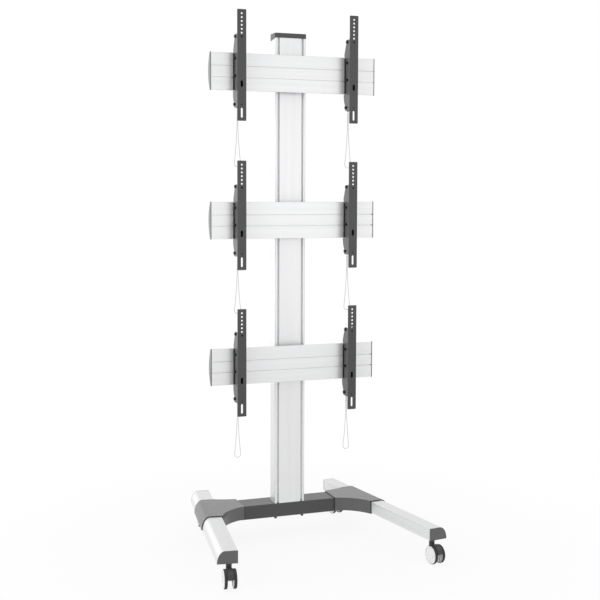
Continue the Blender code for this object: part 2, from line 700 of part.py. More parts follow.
def build_rail(name, frame):
    inside = RAIL_LENGTH / 2 - RAIL_CAP - FIT
    piece(f"rail_{name}", extrusion([rail_section()] + rail_hollows(), -inside, inside, "x"),
          ALUMINIUM, frame, smooth=35)
    middle_edge = (RAIL_SLOT_PITCH - SLOT_WIDTH) / 2 - RAIL_WALL - FIT
    plug_section = rectangle(RAIL_FRONT + RAIL_WALL + FIT, RAIL_BACK - RAIL_WALL - FIT,
                             -middle_edge, middle_edge)
    for side, way in SIDES.items():
        outer = way * RAIL_LENGTH / 2
        cap = piece(f"rail_cap_{name}_{side}",
                    extrusion([rail_cap_section()], outer, outer - way * RAIL_CAP, "x"),
                    GREY_PLASTIC, frame, smooth=35)
        plug = extrusion([plug_section], outer - way * RAIL_CAP / 2,
                         outer - way * (RAIL_CAP + RAIL_PLUG), "x")
        tool(cap, f"rail_cap_plug_{name}_{side}", plug, 'UNION')


def build_clamp(name, frame):
    """Plate between rail and column, with bars in the T-slots of both."""
    front = RAIL_BACK + FIT
    back = COLUMN_FRONT - FIT
    half = CLAMP_WIDTH / 2
    reach = SLOT_DEPTH - FIT
    side_z = CLAMP_HEIGHT / 2
    plate = extrusion([rectangle(-half, half, -side_z, side_z, CLAMP_CORNER)], front, back, "y")
    clamp = piece(f"rail_clamp_{name}", plate, ZINC, frame, smooth=35)
    section = t_bar(SLOT_LIP, reach)
    upright = side_z * CLAMP_BAR_SHARE
    across = half * CLAMP_BAR_SHARE
    for x in (-COLUMN_SLOT_PITCH / 2, COLUMN_SLOT_PITCH / 2):
        bar = extrusion([[(x + u, COLUMN_FRONT - v) for u, v in section]], -upright, upright, "z")
        tool(clamp, f"column_bar_{name}", bar, 'UNION')
    for z in (-RAIL_SLOT_PITCH / 2, RAIL_SLOT_PITCH / 2):
        bar = extrusion([[(RAIL_BACK + v, z + u) for u, v in section]], -across, across, "x")
        tool(clamp, f"rail_bar_{name}", bar, 'UNION')


# Hook brackets and display arms, each in a frame at the arm's middle and the rail's middle height

def bracket_side():
    """Outline of a bracket's side plate, in (y, z), going round from the front top corner."""
    front = ARM_FRONT + BRACKET_FRONT
    rail_top = RAIL_HEIGHT / 2 + FIT
    hook_in = RAIL_FRONT + RAIL_LIP + FIT
    hook_out = hook_in + HOOK_THICKNESS
    jaw = RAIL_FRONT + RAIL_SHOULDER + JAW_GAP
    under = -RAIL_HEIGHT / 2 - FIT
    guide_under = under - GUIDE_DROP - GUIDE_THICKNESS - GUIDE_EDGE
    lock = ARM_FRONT + LOCK_BACK + BRACKET_CORNER
    return rounded([
        (front, FLANGE_TOP, BRACKET_CORNER), (RAIL_FRONT + BRACKET_TOP_BACK, FLANGE_TOP, 2 * BRACKET_CORNER),
        (hook_out + EAR_MARGIN, rail_top + BRACKET_SHOULDER_UP, BRACKET_CORNER),
        (hook_out, rail_top + HOOK_THICKNESS), (hook_out, rail_top - HOOK_REACH),
        (hook_in, rail_top - HOOK_REACH), (hook_in, rail_top),
        (RAIL_FRONT - FIT, rail_top), (RAIL_FRONT - FIT, under), (jaw, under),
        (jaw, under - JAW_HEIGHT, BRACKET_CORNER), (jaw - JAW_SLOPE, guide_under, BRACKET_CORNER),
        (lock, FLANGE_BOTTOM, BRACKET_CORNER), (front, FLANGE_BOTTOM, BRACKET_CORNER)])


def build_bracket(name, frame):
    outer = ARM_WIDTH / 2 - ARM_BEND - ARM_FLANGE - FIT
    inner = outer - BRACKET_PLATE
    outline = bracket_side()
    bracket = piece(f"hook_bracket_{name}", extrusion([outline], -outer, -inner, "x"),
                    GREY_PAINT, frame, smooth=35)
    tool(bracket, f"bracket_plate_{name}", extrusion([outline], inner, outer, "x"), 'UNION')

    merge = BRACKET_PLATE / 2
    rail_top = RAIL_HEIGHT / 2 + FIT
    hook_in = RAIL_FRONT + RAIL_LIP + FIT
    web_back = RAIL_FRONT - 2 * FIT
    web_front = web_back - BRACKET_WEB
    web_top = rail_top + FIT
    tip_in = hook_in + FIT
    tip_out = hook_in + HOOK_THICKNESS - FIT
    tip_end = rail_top - HOOK_REACH + FIT
    web = [(web_front, -BRACKET_WEB_DROP), (web_back, -BRACKET_WEB_DROP), (web_back, web_top),
           (tip_in, web_top), (tip_in, tip_end), (tip_out, tip_end),
           (tip_out, web_top + BRACKET_WEB), (web_front, web_top + BRACKET_WEB)]
    tool(bracket, f"bracket_web_{name}", extrusion([web], -inner - merge, inner + merge, "x"), 'UNION')

    guide_top = -RAIL_HEIGHT / 2 - FIT - GUIDE_DROP
    latch_front = hook_in
    latch_back = latch_front + LATCH_THICKNESS
    guide = [rectangle(-inner - merge, inner + merge, ARM_FRONT + BRACKET_FRONT + BRACKET_CORNER,
                       latch_back + GUIDE_EDGE),
             rectangle(-LATCH_WIDTH / 2 - FIT, LATCH_WIDTH / 2 + FIT, latch_front - FIT,
                       latch_back + FIT)]
    tool(bracket, f"latch_guide_{name}", extrusion(guide, guide_top - GUIDE_THICKNESS, guide_top),
         'UNION')

    reach = ARM_WIDTH / 2 + TILT_HEAD_HEIGHT
    shank = reach - TILT_HEAD_HEIGHT / 2
    for label, back, up, radius in (("pivot", PIVOT_BACK, PIVOT_UP, PIVOT_RADIUS),
                                    ("lock", LOCK_BACK, LOCK_UP, LOCK_RADIUS)):
        centre = (ARM_FRONT + back, up)
        for way in (-1, 1):
            bolt = cylinder(centre, radius, way * (inner + merge), way * shank, "x", 6)
            tool(bracket, f"{label}_bolt_{name}", bolt, 'UNION')
            head = cylinder(centre, TILT_HEAD_RADIUS, way * (ARM_WIDTH / 2 + FIT), way * reach, "x", 6)
            tool(bracket, f"{label}_head_{name}", head, 'UNION')
    for up in RAIL_SCREW_UP:
        for way in (-1, 1):
            screw = cylinder((ARM_FRONT + RAIL_SCREW_BACK, up), RAIL_SCREW_RADIUS,
                             way * (outer + RAIL_SCREW_HEIGHT), way * (inner + merge), "x", 6)
            tool(bracket, f"rail_screw_{name}", screw, 'UNION')


def arm_plate():
    """Front plate of a display arm, in (x, z): a row of holes, an access hole and a slot."""
    half = ARM_WIDTH / 2
    outline = rectangle(-half, half, ARM_TOP - ARM_LENGTH, ARM_TOP, ARM_CORNER)
    loops = [outline]
    for index in range(ARM_HOLE_COUNT):
        up = ARM_TOP - ARM_FIRST_HOLE - index * ARM_HOLE_PITCH
        loops.append(circle((0, up), ARM_HOLE_RADIUS, 8))
    loops.append(stadium((0, ARM_TOP - ARM_OVAL_FROM_TOP), ARM_OVAL_LENGTH, ARM_OVAL_RADIUS))
    loops.append(circle((0, ARM_TOP - ARM_SCREW_FROM_TOP), ARM_SCREW_RADIUS, 6))
    loops.append(stadium((0, ARM_TOP - ARM_SLOT_FROM_TOP), ARM_SLOT_LENGTH, ARM_SLOT_RADIUS))
    return loops


def lock_slot():
    """The curved slot that the lock bolt runs in while the arm tilts about its pivot."""
    pivot = Vector((ARM_FRONT + PIVOT_BACK, PIVOT_UP))
    lock = Vector((ARM_FRONT + LOCK_BACK, LOCK_UP)) - pivot
    distance = lock.length
    start = math.degrees(math.atan2(lock.y, lock.x))
    end = start - math.degrees(TILT_RANGE)
    radius = LOCK_RADIUS + 3 * FIT
    near = pivot + lock
    far = pivot + Matrix.Rotation(-TILT_RANGE, 2) @ lock
    near_end = arc(near, radius, start, start + 180, 3)
    far_end = arc(far, radius, end - 180, end, 3)
    return near_end + far_end


def arm_flange():
    """Side flange of a display arm, in (y, z), with an ear at each end."""
    front = ARM_FRONT + ARM_PLATE / 2
    shallow = ARM_FRONT + FLANGE_DEPTH
    pivot = ARM_FRONT + PIVOT_BACK + TILT_HEAD_RADIUS + EAR_MARGIN
    pivot_under = FLANGE_TOP - PIVOT_EAR_HEIGHT
    lock = ARM_FRONT + LOCK_BACK + TILT_HEAD_RADIUS + EAR_MARGIN
    lock_over = FLANGE_BOTTOM + LOCK_EAR_HEIGHT
    outline = rounded([
        (front, FLANGE_TOP), (pivot, FLANGE_TOP, EAR_CORNER), (pivot, pivot_under, EAR_CORNER),
        (shallow, pivot_under - PIVOT_EAR_SLOPE), (shallow, lock_over + LOCK_EAR_SLOPE),
        (lock, lock_over, EAR_CORNER), (lock, FLANGE_BOTTOM, EAR_CORNER), (front, FLANGE_BOTTOM)])
    return [outline, circle((ARM_FRONT + PIVOT_BACK, PIVOT_UP), PIVOT_RADIUS + 2 * FIT, 8), lock_slot()]


def build_arm(name, frame):
    arm = piece(f"display_arm_{name}",
                extrusion(arm_plate(), ARM_FRONT, ARM_FRONT + ARM_PLATE, "y"),
                GREY_PAINT, frame, smooth=35)
    outer = ARM_WIDTH / 2 - ARM_BEND
    for way in (-1, 1):
        flange = extrusion(arm_flange(), way * outer, way * (outer - ARM_FLANGE), "x")
        tool(arm, f"arm_flange_{name}", flange, 'UNION')


def build_latch(name, frame):
    """Spring latch: a flat strip behind the rail's lower lip, with the cord's ferrule below."""
    front = RAIL_FRONT + RAIL_LIP + FIT
    back = front + LATCH_THICKNESS
    tip = -RAIL_HEIGHT / 2 + LATCH_OVERLAP
    foot = -RAIL_HEIGHT / 2 - LATCH_DROP
    middle = (front + back) / 2
    half = LATCH_WIDTH / 2
    narrow = LATCH_FOOT_WIDTH / 2
    blade = rounded([(-half, foot + LATCH_TAPER), (-narrow, foot), (narrow, foot),
                     (half, foot + LATCH_TAPER), (half, tip, LATCH_CORNER), (-half, tip, LATCH_CORNER)])
    latch = piece(f"latch_{name}", extrusion([blade], front, back, "y"), ZINC, frame, smooth=35)
    top = foot - FERRULE_STEM
    stem = cylinder((0, middle), LATCH_STEM_RADIUS, top - FERRULE_BITE, foot + FERRULE_BITE, "z", 6)
    tool(latch, f"latch_stem_{name}", stem, 'UNION')
    ferrule = cylinder((0, middle), FERRULE_RADIUS, top - FERRULE_LENGTH, top, "z", 8)
    tool(latch, f"ferrule_{name}", ferrule, 'UNION')
    return Vector((0, middle, top - FERRULE_LENGTH - FIT))


def build_cord(name, frame, start):
    """One unbroken loop of cord: down one strand, round the bottom and up the other."""
    side = CORD_RADIUS + CORD_STRAND_GAP / 2
    bottom_radius = CORD_LOOP_WIDTH / 2
    route = []
    for share in CORD_STRAND_SHARES:
        spread = side + (bottom_radius - side) * share ** CORD_SPREAD_POWER
        route.append(Vector((-spread, 0, -CORD_DROP * share)))
    route.append(Vector((-bottom_radius * CORD_TURN_SHARES[0], 0, -CORD_DROP * CORD_TURN_SHARES[1])))
    route.append(Vector((0, 0, -CORD_DROP)))
    route += [Vector((-point.x, 0, point.z)) for point in route[-2::-1]]
    points = smooth_route(route, CORD_POINTS)
    curve = bpy.data.curves.new(f"pull_cord_{name}", 'CURVE')
    curve.dimensions = '3D'
    curve.bevel_depth = CORD_RADIUS
    curve.bevel_resolution = 1
    curve.use_fill_caps = True
    spline = curve.splines.new('POLY')
    spline.points.add(len(points) - 1)
    for target, point in zip(spline.points, points):
        target.co = (*(start + point), 1.0)
    curve.materials.append(material(f"pull_cord_{name}", *CORD))
    cord = bpy.data.objects.new(f"pull_cord_{name}", curve)
    cord.parent = frame
    bpy.context.scene.collection.objects.link(cord)


def smooth_route(route, count):
    """Points on a smooth curve through the route's own points, closer together where it bends."""
    dense = [route[0]]
    for index in range(len(route) - 1):
        p1, p2 = route[index], route[index + 1]
        p0 = route[index - 1] if index else p1 * 2 - p2
        p3 = route[index + 2] if index + 2 < len(route) else p2 * 2 - p1
        for step in range(1, 13):
            t = step / 12
            dense.append(0.5 * (2 * p1 + (p2 - p0) * t + (2 * p0 - 5 * p1 + 4 * p2 - p3) * t ** 2
                                + (3 * p1 - p0 - 3 * p2 + p3) * t ** 3))
    weights = [0.0]
    for before, here, after in zip([dense[0]] + dense, dense, dense[1:]):
        bend = (here - before).angle(after - here, 0.0)
        weights.append(weights[-1] + (after - here).length + CORD_BEND_SHARE * bend)
    points = []
    for number in range(count):
        want = weights[-1] * number / (count - 1)
        index = next(i for i in range(1, len(weights)) if weights[i] >= want - 1e-9)
        share = (want - weights[index - 1]) / (weights[index] - weights[index - 1])
        points.append(dense[index - 1].lerp(dense[index], share))
    return points


build_column()
build_column_cap()
build_crossbeam()
for side in SIDES:
    frame = leg_frame(side)
    build_leg(side, frame)
    build_cover(side, frame)
    for end in ENDS:
        build_caster(end, side, frame)
for name, height in zip(RAIL_NAMES, RAIL_HEIGHTS):
    rail_frame = empty(f"rail_frame_{name}", (0, 0, height))
    build_rail(name, rail_frame)
    build_clamp(name, rail_frame)
    for side, way in SIDES.items():
        tag = f"{name}_{side}"
        arm_frame = empty(f"arm_frame_{tag}", (way * ARM_SPACING / 2, 0, 0), rail_frame)
        build_bracket(tag, arm_frame)
        build_arm(tag, arm_frame)
        cord_start = build_latch(tag, arm_frame)
        build_cord(tag, arm_frame, cord_start)
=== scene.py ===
import math

import bmesh
import bpy
from mathutils import Matrix, Vector


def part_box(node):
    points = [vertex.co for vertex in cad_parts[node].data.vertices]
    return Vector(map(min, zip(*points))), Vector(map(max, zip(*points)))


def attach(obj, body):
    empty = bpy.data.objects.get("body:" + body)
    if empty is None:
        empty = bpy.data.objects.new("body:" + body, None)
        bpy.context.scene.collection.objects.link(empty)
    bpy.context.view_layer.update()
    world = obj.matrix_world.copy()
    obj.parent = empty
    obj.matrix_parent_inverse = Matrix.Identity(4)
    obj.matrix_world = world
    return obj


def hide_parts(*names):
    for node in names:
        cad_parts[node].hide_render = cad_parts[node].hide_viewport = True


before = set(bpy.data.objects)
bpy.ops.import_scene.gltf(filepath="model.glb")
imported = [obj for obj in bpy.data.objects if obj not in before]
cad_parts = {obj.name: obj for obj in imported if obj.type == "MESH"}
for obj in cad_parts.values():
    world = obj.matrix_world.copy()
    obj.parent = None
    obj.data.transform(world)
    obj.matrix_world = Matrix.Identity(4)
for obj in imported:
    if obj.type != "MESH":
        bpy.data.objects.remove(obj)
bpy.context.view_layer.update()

# Camera
# The stand is seen from its left front, a little above the middle rail, through a long lens.
EYE = Vector((-1.6099, -4.3968, 1.5030))
EYE_YAW = math.radians(20.075)
EYE_PITCH = math.radians(4.3186)
EYE_ROLL = math.radians(0.186)
FOCAL_PIXELS = 1124.64
HORIZON_PIXEL = 274.7
IMAGE_SIZE = 600
SENSOR_WIDTH = 36


def fill(made, **values):
    """Set values on something new: its attribute of that name, else its input of that name."""
    for key, value in values.items():
        if hasattr(made, key):
            setattr(made, key, value)
        else:
            made.inputs[key.replace("_", " ").title()].default_value = value
    return made


def placed(name, data):
    """A new object in the scene, at the origin."""
    made = bpy.data.objects.new(name, data)
    bpy.context.scene.collection.objects.link(made)
    return made


looking = Vector((math.sin(EYE_YAW) * math.cos(EYE_PITCH), math.cos(EYE_YAW) * math.cos(EYE_PITCH),
                  -math.sin(EYE_PITCH)))
rightward = Vector((math.cos(EYE_YAW), -math.sin(EYE_YAW), 0))
upward = rightward.cross(looking)
rolled_right = rightward * math.cos(EYE_ROLL) + upward * math.sin(EYE_ROLL)
rolled_up = upward * math.cos(EYE_ROLL) - rightward * math.sin(EYE_ROLL)
camera_data = fill(bpy.data.cameras.new("camera"), sensor_width=SENSOR_WIDTH,
                   lens=FOCAL_PIXELS * SENSOR_WIDTH / IMAGE_SIZE,
                   shift_y=(HORIZON_PIXEL - IMAGE_SIZE / 2) / IMAGE_SIZE)
camera = placed("camera", camera_data)
camera.matrix_world = Matrix((rolled_right, rolled_up, -looking)).transposed().to_4x4()
camera.location = EYE
bpy.context.scene.camera = camera

# Crossbeam
# A rectangular steel tube, powder coated dark grey, that lies between the legs and carries the
# column. Four bolts from below hold the column on it.
PAINT_GREY = (0.049, 0.049, 0.051, 1)
DUST_GREY = (0.45, 0.44, 0.42, 1)
CAD_WELD = 1e-5
CAD_FLAT = math.radians(0.5)
WELD = 1e-6
SHARP = math.radians(38)


def add_group(name, inputs, outputs):
    """A shader node group: inputs are names with default numbers or vectors, outputs are names."""
    tree = bpy.data.node_groups.new(name, 'ShaderNodeTree')
    for label, value in inputs.items():
        kind = 'NodeSocketVector' if isinstance(value, tuple) else 'NodeSocketFloat'
        tree.interface.new_socket(label, in_out='INPUT', socket_type=kind).default_value = value
    for label in outputs:
        tree.interface.new_socket(label, in_out='OUTPUT', socket_type='NodeSocketFloat')
    return tree, tree.nodes.new('NodeGroupInput'), tree.nodes.new('NodeGroupOutput')


def wire(tree, *links):
    """Links between sockets, each as (node, output, node, input)."""
    for source, output, target, slot in links:
        tree.links.new(source.outputs[output], target.inputs[slot])


def node(tree, kind, **values):
    return fill(tree.nodes.new('ShaderNode' + kind), **values)


def noise_map(tree, **values):
    """A noise texture over the object's own coordinates."""
    noise = node(tree, 'TexNoise', **values)
    wire(tree, (node(tree, 'TexCoord'), "Object", noise, "Vector"))
    return noise


def put_mask(tree, given, result, first, second):
    """A group's mask: the product of two (node, output) masks, scaled by the given amount."""
    both = node(tree, 'Math', operation='MULTIPLY')
    scaled = node(tree, 'Math', operation='MULTIPLY', use_clamp=True)
    wire(tree, (*first, both, 0), (*second, both, 1), (both, "Value", scaled, 0),
         (given, "Amount", scaled, 1), (scaled, "Value", result, "Mask"))


def wear_and_highlight_group():
    """Rubbed edges, partly a painted edge highlight: where the rounded normal leaves the true one,
    broken up by a slow noise.
    """
    tree, given, result = add_group("edge_wear_and_highlight", {"Width": 0.0012, "Amount": 0.5}, ["Mask"])
    rounded = node(tree, 'Bevel', samples=6)
    true = node(tree, 'NewGeometry')
    dot = node(tree, 'VectorMath', operation='DOT_PRODUCT')
    edge = node(tree, 'MapRange', from_min=0.995, from_max=0.90)
    patches = node(tree, 'MapRange', from_min=0.38, from_max=0.60)
    noise = noise_map(tree, scale=35.0, detail=6.0, roughness=0.7)
    wire(tree, (given, "Width", rounded, "Radius"), (rounded, "Normal", dot, 0),
         (true, "True Normal", dot, 1), (dot, "Value", edge, "Value"),
         (noise, "Fac", patches, "Value"))
    put_mask(tree, given, result, (edge, "Result"), (patches, "Result"))
    return tree


def grain_group():
    """Moulded or sprayed skin: fine grain for the bump, and a slow unevenness in tone and gloss."""
    tree, given, result = add_group("skin_grain", {"Grain Scale": 1800.0, "Patch Scale": 6.0},
                                    ["Height", "Patch"])
    fine = noise_map(tree, detail=3.0, roughness=0.55)
    slow = noise_map(tree, detail=4.0, roughness=0.6)
    wire(tree, (given, "Grain Scale", fine, "Scale"), (given, "Patch Scale", slow, "Scale"),
         (fine, "Fac", result, "Height"), (slow, "Fac", result, "Patch"))
    return tree


def dust_group():
    """Fine dust that settles on what faces up, thicker in some places than in others."""
    tree, given, result = add_group("settled_dust", {"Amount": 0.1}, ["Mask"])
    facing = node(tree, 'NewGeometry')
    split = node(tree, 'SeparateXYZ')
    up = node(tree, 'MapRange', from_min=0.5)
    noise = noise_map(tree, scale=22.0, detail=8.0, roughness=0.75)
    wire(tree, (facing, "Normal", split, "Vector"), (split, "Z", up, "Value"))
    put_mask(tree, given, result, (up, "Result"), (noise, "Fac"))
    return tree


EDGE_WEAR_AND_HIGHLIGHT = wear_and_highlight_group()
SKIN_GRAIN = grain_group()
SETTLED_DUST = dust_group()


def material(name):
    """A new material, its node tree and its Principled shader."""
    made = bpy.data.materials.new(name)
    made.use_nodes = True
    return made, made.node_tree, made.node_tree.nodes["Principled BSDF"]


def layered(name, texture, given, drivers, colour, tones, gloss, rubbed, settled, relief,
            metallic=0.0, coat=0.0):
    """A skin in layers: a base of uneven tone and gloss, rubbed edges that are partly a painted
    highlight, dust, and fine relief.

    texture is a node group with its given inputs, and drivers are its outputs for tone and gloss.
    rubbed is (colour, amount, width), settled is (colour, amount), relief is (strength, depth).
    """
    made, tree, shader = material(name)
    fill(shader, metallic=metallic, coat_weight=coat)
    source = node(tree, 'Group', node_tree=texture, **given)
    worn_and_highlight = node(tree, 'Group', node_tree=EDGE_WEAR_AND_HIGHLIGHT, amount=rubbed[1])
    worn_and_highlight.inputs["Width"].default_value = rubbed[2]
    dusty = node(tree, 'Group', node_tree=SETTLED_DUST, amount=settled[1])
    tone = node(tree, 'MapRange', to_min=tones[0], to_max=tones[1])
    shade = node(tree, 'Mix', data_type='RGBA', blend_type='MULTIPLY', factor=1, a=colour)
    rub_and_highlight = node(tree, 'Mix', data_type='RGBA', b=rubbed[0])
    settle = node(tree, 'Mix', data_type='RGBA', b=settled[0])
    shine = node(tree, 'MapRange', to_min=gloss[0], to_max=gloss[1])
    bump = node(tree, 'Bump', strength=relief[0], distance=relief[1])
    wire(tree, (source, drivers[0], tone, "Value"), (tone, "Result", shade, "B"),
         (shade, "Result", rub_and_highlight, "A"), (worn_and_highlight, "Mask", rub_and_highlight, "Factor"),
         (rub_and_highlight, "Result", settle, "A"), (dusty, "Mask", settle, "Factor"),
         (settle, "Result", shader, "Base Color"), (source, drivers[1], shine, "Value"),
         (shine, "Result", shader, "Roughness"), (source, "Height", bump, "Height"),
         (bump, "Normal", shader, "Normal"))
    return made


def coating(name, colour, roughness, grain_scale, grain_depth, worn_and_highlight_colour, wear=0.5,
            wear_width=0.0012, dust=0.1, metallic=0.0, spread=0.15, coat=0.0):
    """A coloured skin with grain, uneven tone and gloss, rubbed edges that also paint a highlight
    where the worn colour is lighter, and a little dust on top.
    """
    return layered(name, SKIN_GRAIN, {"grain_scale": grain_scale}, ("Patch", "Patch"), colour,
                   (1 - spread, 1 + spread), (roughness - 0.06, roughness + 0.08),
                   (worn_and_highlight_colour, wear, wear_width), (DUST_GREY, dust), (0.6, grain_depth),
                   metallic, coat)


# The rubbed edges of this dark paint are a lighter grey: wear, and partly a painted highlight along
# the edges.
grey_paint = coating("grey_powder_coat", PAINT_GREY, 0.37, 1500, 0.00006, (0.16, 0.16, 0.165, 1),
                     coat=0.15)


def weld(bm, gap=WELD):
    bmesh.ops.remove_doubles(bm, verts=bm.verts[:], dist=gap)


def flatten(bm, angle):
    """Merge the faces that meet at less than an angle."""
    bmesh.ops.dissolve_limit(bm, angle_limit=angle, verts=bm.verts[:], edges=bm.edges[:])


def refined(name):
    """A copy of a CAD solid with its loose triangles merged into whole faces."""
    bm = bmesh.new()
    bm.from_mesh(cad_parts[name].data)
    weld(bm, CAD_WELD)
    flatten(bm, CAD_FLAT)
    return bm


def meshed(bm, name):
    """The finished bmesh as a new mesh."""
    mesh = bpy.data.meshes.new(name)
    bm.to_mesh(mesh)
    bm.free()
    return mesh


def piece(name, bm, coat, body, slot, *nodes, fillet=0.0006, segments=2):
    """A finished piece in place on its body, with its sharp edges rounded off by fillet."""
    weld(bm)
    mesh = meshed(bm, name)
    mesh.shade_smooth()
    mesh.set_sharp_from_angle(angle=SHARP)
    mesh.materials.append(coat)
    made = placed(name, mesh)
    if fillet:
        fill(made.modifiers.new("fillet", 'BEVEL'), width=fillet, segments=segments,
             limit_method='ANGLE', angle_limit=SHARP)
    fill(made.modifiers.new("flat_faces", 'WEIGHTED_NORMAL'), mode='FACE_AREA', weight=80,
         keep_sharp=True)
    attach(made, body)
    if nodes:
        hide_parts(*nodes)
    return made


piece("crossbeam_tube", refined("crossbeam"), grey_paint, "base", "grey_paint", "crossbeam",
      fillet=0.0012)

# Column
# One aluminium extrusion, 136 by 62.5 mm and 2 m long, satin anodised. T-slots run down its front
# and back faces, and the rail clamps slide in the front ones.
ANODISED = (0.80, 0.803, 0.81, 1)
SLOT_PITCH = 0.107
SLOT_MOUTH = 0.009
SLOT_LIP = 0.003
SLOT_WIDTH = 0.017
SLOT_DEPTH = 0.0105
COLUMN_ROUND = 0.004
SLOT_EDGE = 0.0006
SLOT_FLOOR_ROUND = 0.001
SLOT_SKIN = 0.0008
SLOT_MARGIN = 0.0005
OUTLINE_FLAT = 0.001


def drawn_group():
    """Die lines of an extrusion: noise stretched along the way it was drawn, and slow streaks."""
    tree, given, result = add_group(
        "die_lines", {"Turn": 0.0, "Fine": (2600, 2600, 6), "Slow": (60, 60, 1.5)},
        ["Height", "Streak"])
    place = node(tree, 'TexCoord')
    turned = node(tree, 'VectorRotate', rotation_type='Z_AXIS')
    wire(tree, (place, "Object", turned, "Vector"), (given, "Turn", turned, "Angle"))
    for label, output, detail in (("Fine", "Height", 4.0), ("Slow", "Streak", 3.0)):
        stretched = node(tree, 'VectorMath', operation='MULTIPLY')
        noise = node(tree, 'TexNoise', scale=1.0, detail=detail, roughness=0.6)
        wire(tree, (turned, "Vector", stretched, 0), (given, label, stretched, 1),
             (stretched, "Vector", noise, "Vector"), (noise, "Fac", result, output))
    return tree


DIE_LINES = drawn_group()


def anodised(name, fine, slow, turn=0.0, colour=ANODISED, metallic=0.6):
    """Satin anodised aluminium with die lines along the extrusion and faint handling wear."""
    return layered(name, DIE_LINES, {"turn": turn, "fine": fine, "slow": slow},
                   ("Streak", "Height"), colour, (0.93, 1.05), (0.30, 0.42),
                   ((0.62, 0.62, 0.64, 1), 0.5, 0.001), ((0.60, 0.59, 0.57, 1), 0.12),
                   (0.35, 0.00003), metallic)


column_metal = anodised("column_anodised", (2600, 2600, 5), (55, 55, 1.2))
# The slot faces get a near-white, non-metallic copy of the anodised skin: painted light that
# cancels the shade deep inside the slots.
slot_light_paint = anodised("slot_faces_painted_light", (2600, 2600, 5), (55, 55, 1.2),
                      colour=(0.97, 0.97, 0.975, 1), metallic=0.0)

ALONG_X = Matrix(((0, 0, 1, 0), (1, 0, 0, 0), (0, 1, 0, 0), (0, 0, 0, 1)))
ALONG_Y = Matrix(((1, 0, 0, 0), (0, 0, 1, 0), (0, 1, 0, 0), (0, 0, 0, 1)))
ALONG_Z = Matrix.Identity(4)


def loop(bm, corners, segments):
    """Wire outline through corners (u, v) or (u, v, radius), with each radius rounded off."""
    face = bm.faces.new([bm.verts.new((corner[0], corner[1], 0)) for corner in corners])
    count = len(corners)
    for index, (vert, corner) in enumerate(list(zip(face.verts, corners))):
        if len(corner) == 3 and corner[2]:
            here = Vector(corner[:2])
            before = Vector(corners[index - 1][:2]) - here
            after = Vector(corners[(index + 1) % count][:2]) - here
            reach = corner[2] / math.tan(before.angle(after) / 2)
            bmesh.ops.bevel(bm, geom=[vert], offset=reach, offset_type='OFFSET', segments=segments,
                            profile=0.5, affect='VERTICES', material=-1)
    bmesh.ops.delete(bm, geom=bm.faces[:], context='FACES_ONLY')


def moved(bm, matrix):
    """The solid carried by a matrix, with its faces turned outward again."""
    bmesh.ops.transform(bm, matrix=matrix, verts=bm.verts[:])
    bmesh.ops.recalc_face_normals(bm, faces=bm.faces[:])
    return bm


def profile(outline, low, high, lie=ALONG_Z, holes=(), segments=6):
    """A solid drawn from low to high: the area inside the outline, less its holes."""
    bm = bmesh.new()
    for corners in (outline, *holes):
        loop(bm, corners, segments)
    weld(bm)
    bmesh.ops.triangle_fill(bm, use_beauty=True, use_dissolve=False, edges=bm.edges[:])
    flatten(bm, OUTLINE_FLAT)
    bmesh.ops.translate(bm, verts=bm.verts[:], vec=(0, 0, low))
    drawn = bmesh.ops.extrude_face_region(bm, geom=bm.faces[:], use_keep_orig=True)
    far = [item for item in drawn["geom"] if isinstance(item, bmesh.types.BMVert)]
    bmesh.ops.translate(bm, verts=far, vec=(0, 0, high - low))
    return moved(bm, lie)


def t_slot(centre, face, inward):
    """Corners of a T-slot in a face at v = face, from its left lip to its right lip."""
    mouth = SLOT_MOUTH / 2
    wide = SLOT_WIDTH / 2
    lip = face + inward * SLOT_LIP
    floor = face + inward * SLOT_DEPTH
    half = [(mouth, face, SLOT_EDGE), (mouth, lip), (wide, lip), (wide, floor, SLOT_FLOOR_ROUND)]
    return [*((centre - aside, *rest) for aside, *rest in half),
            *((centre + aside, *rest) for aside, *rest in half[::-1])]


def slot_pair(face, inward):
    """Corners of the two T-slots in a face of the column, from left to right."""
    return t_slot(-SLOT_PITCH / 2, face, inward) + t_slot(SLOT_PITCH / 2, face, inward)


column_low, column_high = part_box("column")
column_outline = [(column_low.x, column_low.y, COLUMN_ROUND), *slot_pair(column_low.y, 1),
                  (column_high.x, column_low.y, COLUMN_ROUND),
                  (column_high.x, column_high.y, COLUMN_ROUND),
                  *slot_pair(column_high.y, -1)[::-1],
                  (column_low.x, column_high.y, COLUMN_ROUND)]
column_bm = profile(column_outline, column_low.z, column_high.z)
# Faces inside the slots take the painted-light copy, so the shade inside the slots is painted out.
for face in column_bm.faces:
    centre = face.calc_center_median()
    across = abs(abs(centre.x) - SLOT_PITCH / 2)
    deep = min(centre.y - column_low.y, column_high.y - centre.y)
    if across < SLOT_WIDTH / 2 + SLOT_MARGIN and SLOT_SKIN < deep < SLOT_DEPTH + SLOT_MARGIN:
        face.material_index = 1
column = piece("column_extrusion", column_bm, column_metal, "base", "anodised_aluminium", "column",
               fillet=0.0004)
column.data.materials.append(slot_light_paint)

# Column cap
# A pressed cover on the column's top end, painted like the crossbeam. Its skirt is deeper at the
# back.
piece("column_top_cap", refined("column_cap"), grey_paint, "base", "grey_paint", "column_cap",
      fillet=0.0011, segments=3)

# Legs
# Two aluminium extrusions with a flat top and a quarter-round outer side. They splay outward to
# the front, and their ends are closed by pushed-in plastic caps.
SPLAY = math.radians(8.16)
LEG_FRONT = Vector((0.4023, -0.42365, 0))
LEG_LENGTH = 0.8725
LEG_WIDTH = 0.0804
LEG_FLAT = 0.0487
LEG_BOTTOM = 0.0975
LEG_TOP = 0.147
LEG_CAP = 0.004
CLEARANCE = 0.0003
SIDES = {"left": -1, "right": 1}
LEG_ROUND = 0.0015
ROUND_STEPS = 20


